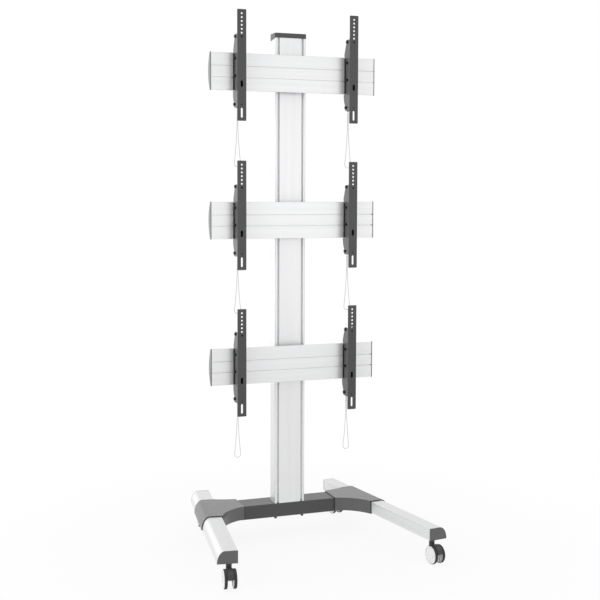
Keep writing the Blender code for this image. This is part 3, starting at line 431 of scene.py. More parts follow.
def leg_matrix(side):
    """From a leg's own frame, X outward and Y back from its front end, to the stand's."""
    way = SIDES[side]
    mirror = Matrix.Diagonal((way, 1, 1, 1))
    return mirror @ Matrix.Translation(LEG_FRONT) @ Matrix.Rotation(SPLAY, 4, 'Z')


def outer_side(grow):
    """Points up a leg's quarter-round outer side, from its foot to the flat top."""
    across = LEG_WIDTH - LEG_FLAT + grow
    rise = LEG_TOP - LEG_BOTTOM + grow
    angles = [math.radians(90 * step / ROUND_STEPS) for step in range(ROUND_STEPS + 1)]
    return [(LEG_FLAT + across * math.cos(angle), LEG_BOTTOM + rise * math.sin(angle))
            for angle in angles]


def leg_section(grow=0.0, floor=0.0):
    """Corners of a leg's section: flat bottom and inner side, flat top, quarter-round outside."""
    foot = LEG_BOTTOM - floor
    rounded = outer_side(grow) if floor else outer_side(grow)[1:]
    return [(-grow, foot, LEG_ROUND), (LEG_WIDTH + grow, foot), *rounded,
            (-grow, LEG_TOP + grow, LEG_ROUND)]


for side in SIDES:
    leg_metal = anodised(f"leg_{side}_anodised", (2600, 5, 2600), (70, 1.5, 70),
                         -SIDES[side] * SPLAY)
    start = LEG_CAP + CLEARANCE
    leg = profile(leg_section(), start, LEG_LENGTH - start, leg_matrix(side) @ ALONG_Y, segments=3)
    piece(f"leg_extrusion_{side}", leg, leg_metal, "base", "anodised_aluminium", f"leg_{side}",
          fillet=0.0003)

# Leg end caps
# Injection-moulded plates that plug into the open ends of the legs, with a softly rounded rim, in
# the same dark grey as the covers.
PLASTIC_GREY = (0.100, 0.100, 0.102, 1)
END_ROUND = 0.0016
# The rubbed edges of this dark plastic are a lighter grey: wear, and partly a painted highlight
# along the edges.
grey_plastic = coating("grey_moulded_plastic", PLASTIC_GREY, 0.34, 2400, 0.00005,
                       (0.15, 0.15, 0.155, 1), wear=0.35, dust=0.22, coat=0.25)
ENDS = {"front": (0, 1), "rear": (LEG_LENGTH, -1)}

for side in SIDES:
    for end, (outer, inward) in ENDS.items():
        cap = profile(leg_section(), outer, outer + inward * LEG_CAP, leg_matrix(side) @ ALONG_Y,
                      segments=3)
        piece(f"leg_plug_{end}_{side}", cap, grey_plastic, "base", "grey_plastic",
              f"leg_cap_{end}_{side}", fillet=END_ROUND, segments=3)

# Corner covers
# Moulded shells that hide the joint of leg and crossbeam. Each slips over the leg, follows its
# round side and sweeps in a concave bow to the beam, where a dark joint line shows. A black lip
# round each mouth against the leg is painted shade, standing in for the shade on the shell's rim.
COVER_WALL = 0.0036
COVER_FROM, COVER_TO = 0.450, 0.703
COVER_BEAM_END = 0.210
COVER_FRONT_PROUD, COVER_REAR_PROUD = 0.009, 0.006
COVER_SKIRT = 0.0035
LIP_REACH = 0.0022
FRONT_BOW, REAR_BOW = 0.018, 0.004
BEAM_WAY_IN, BEAM_WAY_OUT = 0.05, 0.12
SECTION_DROP = 0.02
HOLLOW_DROP = 0.01
FAR_OUT = LEG_WIDTH * 1.5
CUT_FLAT = 0.002
# Near-black skin for the lips: painted shade on the covers' rims against the legs.
lip_painted_shade = coating("black_lip_painted_shade", (0.016, 0.016, 0.017, 1), 0.55, 3200, 0.00005,
                     (0.06, 0.06, 0.06, 1), wear=0.4, wear_width=0.0006, dust=0.08)
beam_low, beam_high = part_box("crossbeam")


def bowed(start, end, sagitta, steps):
    """Points from start to end on the shallow arc that bulges to the left by sagitta."""
    start = Vector(start)
    end = Vector(end)
    chord = end - start
    normal = Vector((-chord.y, chord.x)).normalized()
    points = []
    for step in range(steps + 1):
        share = step / steps
        points.append(tuple(start + chord * share + normal * sagitta * 4 * share * (1 - share)))
    return points


def leg_point(back, outward):
    """Plan position of a point on the right leg, in the stand's frame."""
    spot = leg_matrix("right") @ Vector((outward, back, 0))
    return (spot.x, spot.y)


def cover_plan(inset):
    """The right cover seen from above, from its front outer corner; inset shrinks it by a wall."""
    beside = inset - COVER_WALL - CLEARANCE
    front = bowed(leg_point(COVER_FROM + inset, beside),
                  (COVER_BEAM_END + inset, beam_low.y - COVER_FRONT_PROUD + inset), -FRONT_BOW, 20)
    rear = bowed((COVER_BEAM_END + inset, beam_high.y + COVER_REAR_PROUD - inset),
                 leg_point(COVER_TO - inset, beside), -REAR_BOW, 12)
    return [leg_point(COVER_FROM + inset, FAR_OUT), *front, *rear,
            leg_point(COVER_TO - inset, FAR_OUT)]


def cover_section(grow, top):
    """Across the leg: far inward over the beam, and round the leg's outer side."""
    foot = LEG_BOTTOM - SECTION_DROP
    return [(-LEG_FRONT.x, foot), (LEG_WIDTH + grow, foot), *outer_side(grow)[:-1],
            (LEG_FLAT, top), (-LEG_FRONT.x, top)]


def rectangle(left, bottom, right, top, lower=0, upper=0):
    """Corners of a rectangle, with the radii of its two lower and its two upper corners."""
    return [(left, bottom, lower), (right, bottom, lower), (right, top, upper), (left, top, upper)]


def joined(*solids):
    """Several separate solids as one mesh."""
    bm = bmesh.new()
    for solid in solids:
        mesh = meshed(solid, "scratch")
        bm.from_mesh(mesh)
        bpy.data.meshes.remove(mesh)
    return bm


def carved(blank, *steps):
    """A blank cut to shape by solids: each step is an operation and the solid that does it."""
    work = placed("scratch", meshed(blank, "scratch"))
    used = [work]
    for operation, solid in steps:
        used.append(placed("scratch", meshed(solid, "scratch")))
        fill(work.modifiers.new("cut", 'BOOLEAN'), operation=operation, object=used[-1])
    shaped = work.evaluated_get(bpy.context.evaluated_depsgraph_get()).to_mesh()
    bm = bmesh.new()
    bm.from_mesh(shaped)
    for item in used:
        bpy.data.objects.remove(item, do_unlink=True)
    flatten(bm, CUT_FLAT)
    return bm


for side in SIDES:
    across = leg_matrix(side) @ ALONG_Y
    mirror = Matrix.Diagonal((SIDES[side], 1, 1, 1))
    grow = COVER_WALL + CLEARANCE
    bottom = LEG_BOTTOM - COVER_SKIRT
    ceiling = LEG_TOP + CLEARANCE
    room = profile(cover_section(CLEARANCE, LEG_TOP + 2 * CLEARANCE), 0, LEG_LENGTH, across)
    hollow = carved(profile(cover_plan(COVER_WALL), bottom - HOLLOW_DROP, ceiling, mirror),
                    ('INTERSECT', room))
    beam_way = profile(rectangle(beam_low.y - CLEARANCE, 0, beam_high.y + CLEARANCE, ceiling),
                       COVER_BEAM_END - BEAM_WAY_IN, COVER_BEAM_END + BEAM_WAY_OUT,
                       mirror @ ALONG_X)
    outside = profile(cover_section(grow, LEG_TOP + grow), 0, LEG_LENGTH, across)
    leg_way = profile(leg_section(CLEARANCE, SECTION_DROP), 0, LEG_LENGTH, across)
    shell = carved(profile(cover_plan(0), bottom, LEG_TOP + grow, mirror), ('INTERSECT', outside),
                   ('DIFFERENCE', hollow), ('DIFFERENCE', leg_way), ('DIFFERENCE', beam_way))
    piece(f"corner_shell_{side}", shell, grey_plastic, "base", "grey_plastic",
          f"corner_cover_{side}", fillet=0.0010, segments=3)
    # Each lip is painted shade: a black band that stands in for the shade on the shell's rim at the
    # leg.
    lips = [profile(leg_section(grow, COVER_SKIRT), mouth, mouth + LIP_REACH, across,
                    holes=(leg_section(CLEARANCE),), segments=3)
            for mouth in (COVER_FROM - LIP_REACH, COVER_TO)]
    piece(f"corner_lips_{side}", joined(*lips), lip_painted_shade, "base", "grey_plastic", fillet=0.0003)

# Casters
# Twin-wheel casters under each leg end: a dark plastic hood on a stem, white wheels with a black
# rubber tread on an axle through it. They trail to the front. A brake pedal hinges in each hood.
CASTER_OUT = 0.031
CASTER_FROM_END = 0.033
AXLE = (-0.025, 0.0375)
AXLE_PLACE = Matrix.Translation((0, *AXLE))
AXLE_RADIUS = 0.0042
AXLE_BORE = 0.0046
BORE_REACH = 0.02
WHEEL_RADIUS = 0.0375
WHEEL_IN, WHEEL_OUT = 0.012, 0.025
RIM_DROP = 0.0012
HUB_RADIUS, HUB_SINK = 0.0066, 0.0006
INNER_DISH = 0.0014
TREAD_IN, TREAD_OUT = 0.0126, 0.0236
TREAD_SEAT = 0.0332
TREAD_ROUND = 0.0014
HOOD_RADIUS = 0.0392
HOOD_HALF = 0.0115
HOOD_UNDER_AXLE = 0.007
HOOD_SLOPE = math.radians(23)
NECK_TOP = 0.0972
COLLAR_PROUD = 0.0012
COLLAR_HEIGHT = 0.005
PEDAL_HALF = 0.00925
PEDAL_INNER = HOOD_RADIUS - 0.006
PEDAL_OUTER = HOOD_RADIUS + 0.0012
PEDAL_ROUND = 0.0012
PEDAL_START = math.radians(107)
PEDAL_SWEEP = math.radians(56)
PEDAL_PLAY = math.radians(4)
RECESS_DEPTH = 0.003
RECESS_TOP = HOOD_RADIUS * 1.4
MARK_RADIUS, MARK_HOLE = 0.0040, 0.0022
MARK_TURN = Matrix.Rotation(math.radians(148), 4, 'X') @ Matrix.Rotation(math.radians(-90), 4, 'X')
caster_plastic = coating("caster_hood_plastic", (0.045, 0.045, 0.047, 1), 0.42, 2600, 0.00004,
                         (0.11, 0.11, 0.11, 1), wear=0.35, wear_width=0.0008, dust=0.12)
tyre_rubber = coating("tyre_rubber", (0.018, 0.018, 0.019, 1), 0.60, 3200, 0.00008,
                      (0.07, 0.07, 0.065, 1), wear=0.6, wear_width=0.0015, dust=0.16, spread=0.3)
wheel_plastic = coating("white_wheel_plastic", (0.93, 0.93, 0.935, 1), 0.30, 2600, 0.00003,
                        (0.60, 0.60, 0.59, 1), wear=0.3, wear_width=0.0006, dust=0.08, spread=0.03,
                        coat=0.3)
fill(wheel_plastic.node_tree.nodes["Principled BSDF"], subsurface_weight=0.25,
     subsurface_radius=(1, 1, 1), subsurface_scale=0.01)
axle_steel = coating("axle_steel", (0.45, 0.45, 0.44, 1), 0.30, 900, 0.00003, (0.30, 0.29, 0.28, 1),
                     wear=0.3, dust=0.05, metallic=0.9)


def round_bar(radius, low, high, centre=(0, 0), lie=ALONG_Z, sides=48):
    """A cylinder about a line through centre, from low to high along it."""
    bm = bmesh.new()
    bmesh.ops.create_cone(bm, cap_ends=True, cap_tris=False, segments=sides, radius1=radius,
                          radius2=radius, depth=abs(high - low))
    bmesh.ops.translate(bm, verts=bm.verts[:], vec=(centre[0], centre[1], (low + high) / 2))
    return moved(bm, lie)


def trimmed(bm, point, away):
    """The solid without what lies beyond a plane, closed again where it is cut."""
    cut = bmesh.ops.bisect_plane(bm, geom=bm.verts[:] + bm.edges[:] + bm.faces[:], plane_co=point,
                                 plane_no=away, clear_outer=True)
    rim = [item for item in cut["geom_cut"] if isinstance(item, bmesh.types.BMEdge)]
    bmesh.ops.edgeloop_fill(bm, edges=rim)
    bmesh.ops.recalc_face_normals(bm, faces=bm.faces[:])
    return bm


def spun(outline, lie, steps=64, start=0.0, sweep=math.tau):
    """An outline of (along, radius) corners turned about the X axis, right round or in part."""
    bm = bmesh.new()
    loop(bm, outline, 4)
    weld(bm)
    whole = sweep == math.tau
    if not whole:
        bmesh.ops.edgeloop_fill(bm, edges=bm.edges[:])
    bmesh.ops.rotate(bm, verts=bm.verts[:], cent=(0, 0, 0), matrix=Matrix.Rotation(start, 3, 'X'))
    bmesh.ops.spin(bm, geom=bm.verts[:] + bm.edges[:] + bm.faces[:], cent=(0, 0, 0), axis=(1, 0, 0),
                   angle=sweep, steps=steps, use_merge=whole)
    weld(bm)
    bmesh.ops.delete(bm, geom=[edge for edge in bm.edges if edge.is_wire], context='EDGES')
    return moved(bm, lie)


def mirrored(bm):
    """The solid and its mirror image across its own X = 0 plane."""
    twin = bm.copy()
    bmesh.ops.scale(twin, vec=(-1, 1, 1), verts=twin.verts[:])
    bmesh.ops.reverse_faces(twin, faces=twin.faces[:])
    return joined(bm, twin)


def caster_hood():
    """The hood, cut off below the axle, with its neck and collar, pedal recess and axle bore."""
    hood = trimmed(round_bar(HOOD_RADIUS, -HOOD_HALF, HOOD_HALF, AXLE, ALONG_X, 72),
                   (0, AXLE[0], AXLE[1] - HOOD_UNDER_AXLE),
                   (0, -math.sin(HOOD_SLOPE), -math.cos(HOOD_SLOPE)))
    neck = round_bar(HOOD_HALF, AXLE[1] + HOOD_RADIUS / 2, NECK_TOP, sides=40)
    collar_top = NECK_TOP - COLLAR_PROUD
    collar = round_bar(HOOD_HALF + COLLAR_PROUD, collar_top - COLLAR_HEIGHT, collar_top, sides=40)
    half = PEDAL_HALF + CLEARANCE
    recess = spun(rectangle(-half, PEDAL_INNER - RECESS_DEPTH, half, RECESS_TOP), AXLE_PLACE, 20,
                  PEDAL_START - PEDAL_PLAY, PEDAL_SWEEP + 2 * PEDAL_PLAY)
    bore = round_bar(AXLE_BORE, -BORE_REACH, BORE_REACH, AXLE, ALONG_X, 24)
    return carved(hood, ('UNION', neck), ('UNION', collar), ('DIFFERENCE', recess),
                  ('DIFFERENCE', bore))


def press_mark():
    """The raised ring on a pedal, upright about its own axis."""
    dot = round_bar(MARK_RADIUS, PEDAL_OUTER - 0.001, PEDAL_OUTER + 0.0005, sides=32)
    hole = round_bar(MARK_HOLE, PEDAL_OUTER - 0.0003, PEDAL_OUTER + 0.01, sides=28)
    return carved(dot, ('DIFFERENCE', hole))


def wheel_section():
    """A wheel in (along the axle, radius): hub, dished face, rim, tread seat and inner side."""
    hub = WHEEL_OUT - HUB_SINK
    rim = WHEEL_RADIUS - RIM_DROP
    seat = TREAD_SEAT - CLEARANCE
    dish = WHEEL_IN + INNER_DISH
    return [(dish, 0), (hub, 0), (hub, HUB_RADIUS, 0.0008), (WHEEL_OUT - 0.0016, 0.0078, 0.0006),
            (WHEEL_OUT - 0.0024, 0.0262, 0.003), (WHEEL_OUT - 0.0002, 0.0318, 0.0020),
            (WHEEL_OUT, rim - 0.0010, 0.0007), (TREAD_OUT + 0.0003, rim, 0.0004),
            (TREAD_OUT + 0.0002, seat), (TREAD_IN - 0.0002, seat), (TREAD_IN - 0.0003, rim, 0.0003),
            (WHEEL_IN, rim - 0.0010, 0.0003), (WHEEL_IN, 0.0300, 0.0010), (dish, 0.0270, 0.0010)]


for side in SIDES:
    for end, (outer, inward) in ENDS.items():
        tag = f"{end}_{side}"
        back = outer + inward * CASTER_FROM_END
        place = leg_matrix(side) @ Matrix.Translation((CASTER_OUT, back, 0))
        piece(f"caster_hood_{tag}", moved(caster_hood(), place), caster_plastic, f"caster_{tag}",
              "caster_plastic", f"caster_yoke_{tag}", fillet=0.0008)
        lever = spun(rectangle(-PEDAL_HALF, PEDAL_INNER, PEDAL_HALF, PEDAL_OUTER,
                               upper=PEDAL_ROUND), AXLE_PLACE, 20, PEDAL_START, PEDAL_SWEEP)
        piece(f"brake_lever_{tag}", moved(lever, place), caster_plastic, f"brake_{tag}",
              "grey_plastic", f"brake_pedal_{tag}", fillet=0.0006)
        piece(f"brake_press_mark_{tag}", moved(press_mark(), place @ AXLE_PLACE @ MARK_TURN),
              tyre_rubber, f"brake_{tag}", "caster_plastic", fillet=0.0002)
        tread = spun(rectangle(TREAD_IN, TREAD_SEAT, TREAD_OUT, WHEEL_RADIUS, upper=TREAD_ROUND),
                     AXLE_PLACE)
        piece(f"caster_treads_{tag}", moved(mirrored(tread), place), tyre_rubber, f"wheels_{tag}",
              "caster_plastic", f"caster_wheels_{tag}", fillet=0)
        wheel = spun(wheel_section(), AXLE_PLACE)
        piece(f"caster_rims_{tag}", moved(mirrored(wheel), place), wheel_plastic, f"wheels_{tag}",
              "caster_plastic", fillet=0)
        axle = round_bar(AXLE_RADIUS, -WHEEL_IN - 0.0010, WHEEL_IN + 0.0010, AXLE, ALONG_X, 24)
        piece(f"caster_axle_{tag}", moved(axle, place), axle_steel, f"wheels_{tag}", "zinc_steel",
              fillet=0)

# Rails
# Three aluminium extrusions, 730 by 154 mm, with two grooves along the face, a lip along each edge
# that the arms hook on, and a bowed back with T-slots. Plastic caps close their ends. Small black
# pegs in the right-hand groove ends of the two lower rails are painted shade where those grooves
# end.
RAILS = ("bottom", "middle", "top")
RAIL_HALF = 0.077
RAIL_LIP = 0.0065
RAIL_LIP_HEIGHT = 0.014
RAIL_SHOULDER = 0.0145
RAIL_BACK_FLAT = 0.068
RAIL_SLOT_PITCH = 0.044
GROOVE_PITCH = 0.0465
RAIL_EDGE, RAIL_LIP_EDGE = 0.0015, 0.0008
RAIL_BOW = 0.0035
GROOVE_WIDTH = 0.0030
GROOVE_DEPTH = 0.0034
GROOVE_EDGE, GROOVE_ROUND = 0.0002, 0.0004
RAIL_CAP = 0.003
CAP_PROUD = 0.0015
CAP_ROUND = 0.003
PEGGED_RAILS = ("bottom", "middle")
PEG_REACH = 0.006
PEG_HEIGHT = 0.0042
PEG_SINK = 0.0002
rail_metal = anodised("rail_anodised", (5, 2600, 2600), (1.2, 55, 55))
# Near-black skin for the pegs: painted shade at the right-hand groove ends.
peg_painted_shade = coating("black_peg_painted_shade", (0.020, 0.020, 0.021, 1), 0.5, 2600, 0.00003,
                      (0.08, 0.08, 0.08, 1), wear=0.3, wear_width=0.0004, dust=0.06)
rail_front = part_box("rail_bottom")[0].y
rail_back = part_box("rail_bottom")[1].y


def groove(middle):
    """Corners of a groove in the face, going up."""
    low = middle - GROOVE_WIDTH / 2
    high = middle + GROOVE_WIDTH / 2
    floor = rail_front + GROOVE_DEPTH
    return [(rail_front, low, GROOVE_EDGE), (floor, low, GROOVE_ROUND),
            (floor, high, GROOVE_ROUND), (rail_front, high, GROOVE_EDGE)]


def rail_outline():
    """Section of a rail about its middle height, in (y, z)."""
    lip = rail_front + RAIL_LIP
    notch = RAIL_HALF - RAIL_LIP_HEIGHT
    shoulder = rail_front + RAIL_SHOULDER
    upper = [(rail_front, RAIL_HALF, RAIL_EDGE), (lip, RAIL_HALF, RAIL_LIP_EDGE), (lip, notch),
             (shoulder, notch)]
    upper += bowed((shoulder, notch), (rail_back, RAIL_BACK_FLAT / 2), RAIL_BOW, 14)[1:]
    slots = []
    for middle in (RAIL_SLOT_PITCH / 2, -RAIL_SLOT_PITCH / 2):
        corners = t_slot(middle, rail_back, -1)[::-1]
        slots += [(back, up, *rounding) for up, back, *rounding in corners]
    lower = [(back, -up, *rounding) for back, up, *rounding in upper[::-1]]
    return groove(-GROOVE_PITCH / 2) + groove(GROOVE_PITCH / 2) + upper + slots + lower


def rail_cap_outline():
    """Lens-shaped end cap, a little proud of the rail all round."""
    front = rail_front - CAP_PROUD
    half = RAIL_HALF + CAP_PROUD
    edge = rail_front + RAIL_LIP + CAP_PROUD
    rear = bowed((edge, half), (edge, -half), rail_back + CAP_PROUD - edge, 36)
    return [(front, -half, CAP_ROUND), (front, half, CAP_ROUND), *rear]


for name in RAILS:
    low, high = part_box(f"rail_{name}")
    lie = Matrix.Translation((0, 0, (low.z + high.z) / 2)) @ ALONG_X
    piece(f"rail_extrusion_{name}", profile(rail_outline(), low.x, high.x, lie, segments=4),
          rail_metal, f"rail_{name}", "anodised_aluminium", f"rail_{name}", fillet=0.0003)
    for side, way in SIDES.items():
        cap_low, cap_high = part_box(f"rail_cap_{name}_{side}")
        outer = cap_low.x if way < 0 else cap_high.x
        inner = outer - way * RAIL_CAP
        plate = profile(rail_cap_outline(), outer, inner, lie, segments=4)
        piece(f"rail_end_plate_{name}_{side}", plate, grey_plastic, f"rail_{name}", "grey_plastic",
              f"rail_cap_{name}_{side}", fillet=0.0011, segments=3)
        # The pegs are painted shade: dark blocks where the grooves end at the right-hand caps.
        if side == "right" and name in PEGGED_RAILS:
            pegs = [profile(rectangle(rail_front + PEG_SINK, up - PEG_HEIGHT / 2,
                                      rail_front + GROOVE_DEPTH, up + PEG_HEIGHT / 2),
                            inner, inner - way * PEG_REACH, lie)
                    for up in (-GROOVE_PITCH / 2, GROOVE_PITCH / 2)]
            piece(f"rail_end_shade_pegs_{name}_{side}", joined(*pegs), peg_painted_shade, f"rail_{name}",
                  "grey_plastic", fillet=0)

# Rail clamps
# Zinc-plated steel plates between rail and column. Bars on both faces lock into the T-slots when
# the four screws are tightened.
zinc_plate = coating("zinc_plated_steel", (0.55, 0.55, 0.53, 1), 0.34, 700, 0.00003,
                     (0.35, 0.34, 0.32, 1), wear=0.4, dust=0.15, metallic=0.9, spread=0.12)

for name in RAILS:
    piece(f"clamp_plate_{name}", refined(f"rail_clamp_{name}"), zinc_plate, f"rail_{name}",
          "zinc_steel", f"rail_clamp_{name}", fillet=0.0007)

# Hook brackets
# Folded steel channels, painted dark grey. A hook on the rail's upper lip carries each, and a
# guide under the rail holds its latch. Black bolts carry the arm. Black strips along the plates'
# rear edges, with a shoe on the rail's face, are painted shadow and reflection of the bracket on
# the rail.
ARM_SPACING = 0.494
ARM_WIDTH = 0.0384
ARM_FLANGE = 0.0017
FLANGE_INSET = 0.0002
FLANGE_TOP, FLANGE_BOTTOM = 0.149, -0.148
BRACKET_PLATE = 0.002
BRACKET_WEB = 0.0025
BRACKET_INSET = 0.0207
BRACKET_ROUND = 0.004
BRACKET_OUT = ARM_WIDTH / 2 - ARM_FLANGE - CLEARANCE - FLANGE_INSET
BRACKET_IN = BRACKET_OUT - BRACKET_PLATE
HOOK_THICKNESS = 0.003
HOOK_REACH = 0.012
HOOK_EDGE = 0.0012
JAW_GAP = 0.0015
WEB_DROP = 0.0708
GUIDE_DROP = 0.0205
GUIDE_THICKNESS = 0.0025
GUIDE_WALL = 0.003
LATCH_WIDTH = 0.022
LATCH_THICKNESS = 0.003
PIVOT = (0.0298, 0.140)
LOCK = (0.0415, -0.1345)
RAIL_SCREWS = ((0.034, 0.053), (0.034, -0.019))
ARM_BOLT_HEAD, ARM_BOLT_PROUD = 0.0068, 0.004
ARM_BOLT_SHANK, SLEEVE_RADIUS = 0.0028, 0.0045
RAIL_SCREW_HEAD, RAIL_SCREW_PROUD = 0.0058, 0.007
SOCKET_DEPTH = 0.0022
ACCESS, ACCESS_LENGTH, ACCESS_RADIUS = -0.0534, 0.031, 0.0075
STRIP_WALL = 0.0005
STRIP_GRIP = 0.0062
STRIP_SHOE = 0.0016
STRIP_REACH = 0.0036
STRIP_GAP = 0.00005
arm_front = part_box("display_arm_bottom_left")[0].y
latch_front = rail_front + RAIL_LIP + CLEARANCE
# The rubbed edges of this dark paint are a lighter grey: wear, and partly a painted highlight along
# the edges.
arm_paint = coating("arm_powder_coat", (0.046, 0.046, 0.048, 1), 0.38, 1700, 0.00007,
                    (0.20, 0.20, 0.205, 1), wear=0.55, wear_width=0.0010, dust=0.08, coat=0.15)
# Near-black skin for the strips: painted contact shadow and reflection of the bracket on the rail.
strip_painted_shadow = coating("black_strip_painted_shadow", (0.012, 0.012, 0.012, 1), 0.5, 2600, 0.00003,
                      (0.05, 0.05, 0.05, 1), wear=0.3, wear_width=0.0004, dust=0.05)
black_steel = coating("blackened_screw_steel", (0.016, 0.016, 0.017, 1), 0.36, 3000, 0.00003,
                      (0.14, 0.135, 0.13, 1), wear=0.6, wear_width=0.0005, dust=0.06, metallic=0.4)

ARM_SEATS = []
for name in RAILS:
    low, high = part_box(f"rail_{name}")
    for side, way in SIDES.items():
        ARM_SEATS.append((f"{name}_{side}", (way * ARM_SPACING / 2, 0, (low.z + high.z) / 2)))


def bracket_outline():
    """Side plate in (y, z), going round from the front top corner."""
    front = arm_front + BRACKET_INSET
    rail_top = RAIL_HALF + CLEARANCE
    hook_in = latch_front
    hook_out = hook_in + HOOK_THICKNESS
    hook_foot = rail_top - HOOK_REACH
    jaw = rail_front + RAIL_SHOULDER + JAW_GAP
    under = -rail_top
    near = rail_front - CLEARANCE
    return [(front, FLANGE_TOP, BRACKET_ROUND), (rail_front - 0.014, FLANGE_TOP, 2 * BRACKET_ROUND),
            (hook_out + 0.001, rail_top + 0.012, BRACKET_ROUND),
            (hook_out, rail_top + HOOK_THICKNESS), (hook_out, hook_foot, HOOK_EDGE),
            (hook_in, hook_foot, HOOK_EDGE), (hook_in, rail_top), (near, rail_top), (near, under),
            (jaw, under, 0.001), (jaw, under - 0.007, BRACKET_ROUND),
            (jaw - 0.0025, under - GUIDE_DROP - GUIDE_THICKNESS - 0.003, BRACKET_ROUND),
            (arm_front + LOCK[0] + BRACKET_ROUND, FLANGE_BOTTOM, BRACKET_ROUND),
            (front, FLANGE_BOTTOM, BRACKET_ROUND)]


def upright_slot(up, length, radius):
    """Corners of a slot with round ends that stands upright on the middle line."""
    return rectangle(-radius, up - length / 2, radius, up + length / 2, radius, radius)


def bracket_body():
    """Two side plates, folded round a front channel, with the web and hook and the latch guide."""
    merge = BRACKET_IN + BRACKET_PLATE / 2
    front = arm_front + BRACKET_INSET
    near = rail_front - 2 * CLEARANCE
    rail_top = RAIL_HALF + 2 * CLEARANCE
    hook_in = rail_front + RAIL_LIP + 2 * CLEARANCE
    hook_out = hook_in + HOOK_THICKNESS - 2 * CLEARANCE
    hook_foot = rail_top - HOOK_REACH + CLEARANCE
    web = profile([(near - BRACKET_WEB, -WEB_DROP), (near, -WEB_DROP), (near, rail_top),
                   (hook_in, rail_top), (hook_in, hook_foot), (hook_out, hook_foot),
                   (hook_out, rail_top + BRACKET_WEB, 0.002),
                   (near - BRACKET_WEB, rail_top + BRACKET_WEB, 0.002)], -merge, merge, ALONG_X)
    guide_top = -RAIL_HALF - CLEARANCE - GUIDE_DROP
    latch_back = latch_front + LATCH_THICKNESS
    half = LATCH_WIDTH / 2 + CLEARANCE
    guide = profile(rectangle(-merge, front + BRACKET_ROUND, merge, latch_back + GUIDE_WALL),
                    guide_top - GUIDE_THICKNESS, guide_top,
                    holes=[rectangle(-half, latch_front - CLEARANCE, half, latch_back + CLEARANCE)])
    channel = profile(rectangle(front, FLANGE_BOTTOM + BRACKET_ROUND, front + BRACKET_PLATE,
                                FLANGE_TOP - BRACKET_ROUND), -merge, merge, ALONG_X)
    access = profile(upright_slot(ACCESS, ACCESS_LENGTH, ACCESS_RADIUS), front - 0.01,
                     front + 0.01, ALONG_Y)
    plates = mirrored(profile(bracket_outline(), BRACKET_IN, BRACKET_OUT, ALONG_X, segments=5))
    return carved(plates, ('UNION', web), ('UNION', guide), ('UNION', channel),
                  ('DIFFERENCE', access))


def screw_head(radius, start, end, centre):
    """A button head with a hexagon socket, on a line along X."""
    head = round_bar(radius, start, end, centre, ALONG_X, 32)
    socket = round_bar(radius * 0.5, end - SOCKET_DEPTH, end + 0.002, centre, ALONG_X, 6)
    return carved(head, ('DIFFERENCE', socket))


def bracket_screws():
    """Heads, shanks and sleeves of the arm's two bolts, and the rail screws, on both plates."""
    face = ARM_WIDTH / 2
    solids = []
    for back, up in (PIVOT, LOCK):
        centre = (arm_front + back, up)
        solids.append(round_bar(SLEEVE_RADIUS, 0, BRACKET_IN, centre, ALONG_X, 24))
        solids.append(screw_head(ARM_BOLT_HEAD, face + CLEARANCE, face + ARM_BOLT_PROUD, centre))
        solids.append(round_bar(ARM_BOLT_SHANK, BRACKET_OUT - 0.0005, face + 0.0006, centre,
                                ALONG_X, 20))
    for back, up in RAIL_SCREWS:
        solids.append(screw_head(RAIL_SCREW_HEAD, BRACKET_OUT, BRACKET_OUT + RAIL_SCREW_PROUD,
                                 (arm_front + back, up)))
    return mirrored(joined(*solids))


def bracket_shadow_strips():
    """Black strips on the plates' edges along the rail, each with a shoe on its face: painted
    contact shadow and reflection of the bracket on the rail.
    """
    edge = BRACKET_IN - STRIP_WALL
    lip = BRACKET_OUT + STRIP_WALL
    grip = rail_front - STRIP_GRIP
    seat = rail_front - CLEARANCE
    shoe = rail_front - STRIP_SHOE
    foot = rail_front - STRIP_GAP
    outline = [(edge, grip), (BRACKET_IN, grip), (BRACKET_IN, seat), (BRACKET_OUT, seat),
               (BRACKET_OUT, grip), (lip, grip), (lip, shoe), (lip + STRIP_REACH, shoe, 0.0005),
               (lip + STRIP_REACH, foot), (edge, foot)]
    return mirrored(profile(outline, -RAIL_HALF + 0.002, RAIL_HALF - 0.004))


for tag, spot in ARM_SEATS:
    place = Matrix.Translation(spot)
    piece(f"bracket_body_{tag}", moved(bracket_body(), place), arm_paint, f"bracket_{tag}",
          "grey_paint", f"hook_bracket_{tag}", fillet=0.0005)
    piece(f"bracket_screws_{tag}", moved(bracket_screws(), place), black_steel, f"bracket_{tag}",
          "grey_paint", fillet=0.0006, segments=3)
    # The strips are painted shadow: a dark band on the rail beside each plate, for the bracket's
    # contact shadow and reflection.
    piece(f"bracket_shadow_strips_{tag}", moved(bracket_shadow_strips(), place), strip_painted_shadow, f"bracket_{tag}",
          "grey_plastic", fillet=0)

# Display arms
# Folded steel channels, painted dark grey, that a display is screwed to. Seven round holes, an
# oval for a screwdriver, a small hole and a long slot are punched in the face.
ARM_LENGTH = 0.450
ARM_TOP = 0.2466
ARM_PLATE = 0.003
ARM_ROUND = 0.003
HOLE_RADIUS = 0.004
HOLE_COUNT, HOLE_FIRST, HOLE_PITCH = 7, 0.017, 0.0156
OVAL_DROP, OVAL_LENGTH, OVAL_RADIUS = 0.300, 0.027, 0.0055
SMALL_HOLE_DROP, SMALL_HOLE_RADIUS = 0.384, 0.0028
LONG_SLOT_DROP, LONG_SLOT_LENGTH, LONG_SLOT_RADIUS = 0.4175, 0.040, 0.0042
FLANGE_DEPTH = 0.0175
EAR_REACH = 0.0085
EAR_ROUND = 0.004
BOLT_WAY = 0.0037
TILT = math.radians(3)


def round_hole(u, v, radius):
    """The outline of a round hole: a square whose corners are rounded off into each other."""
    return rectangle(u - radius, v - radius, u + radius, v + radius, radius, radius)


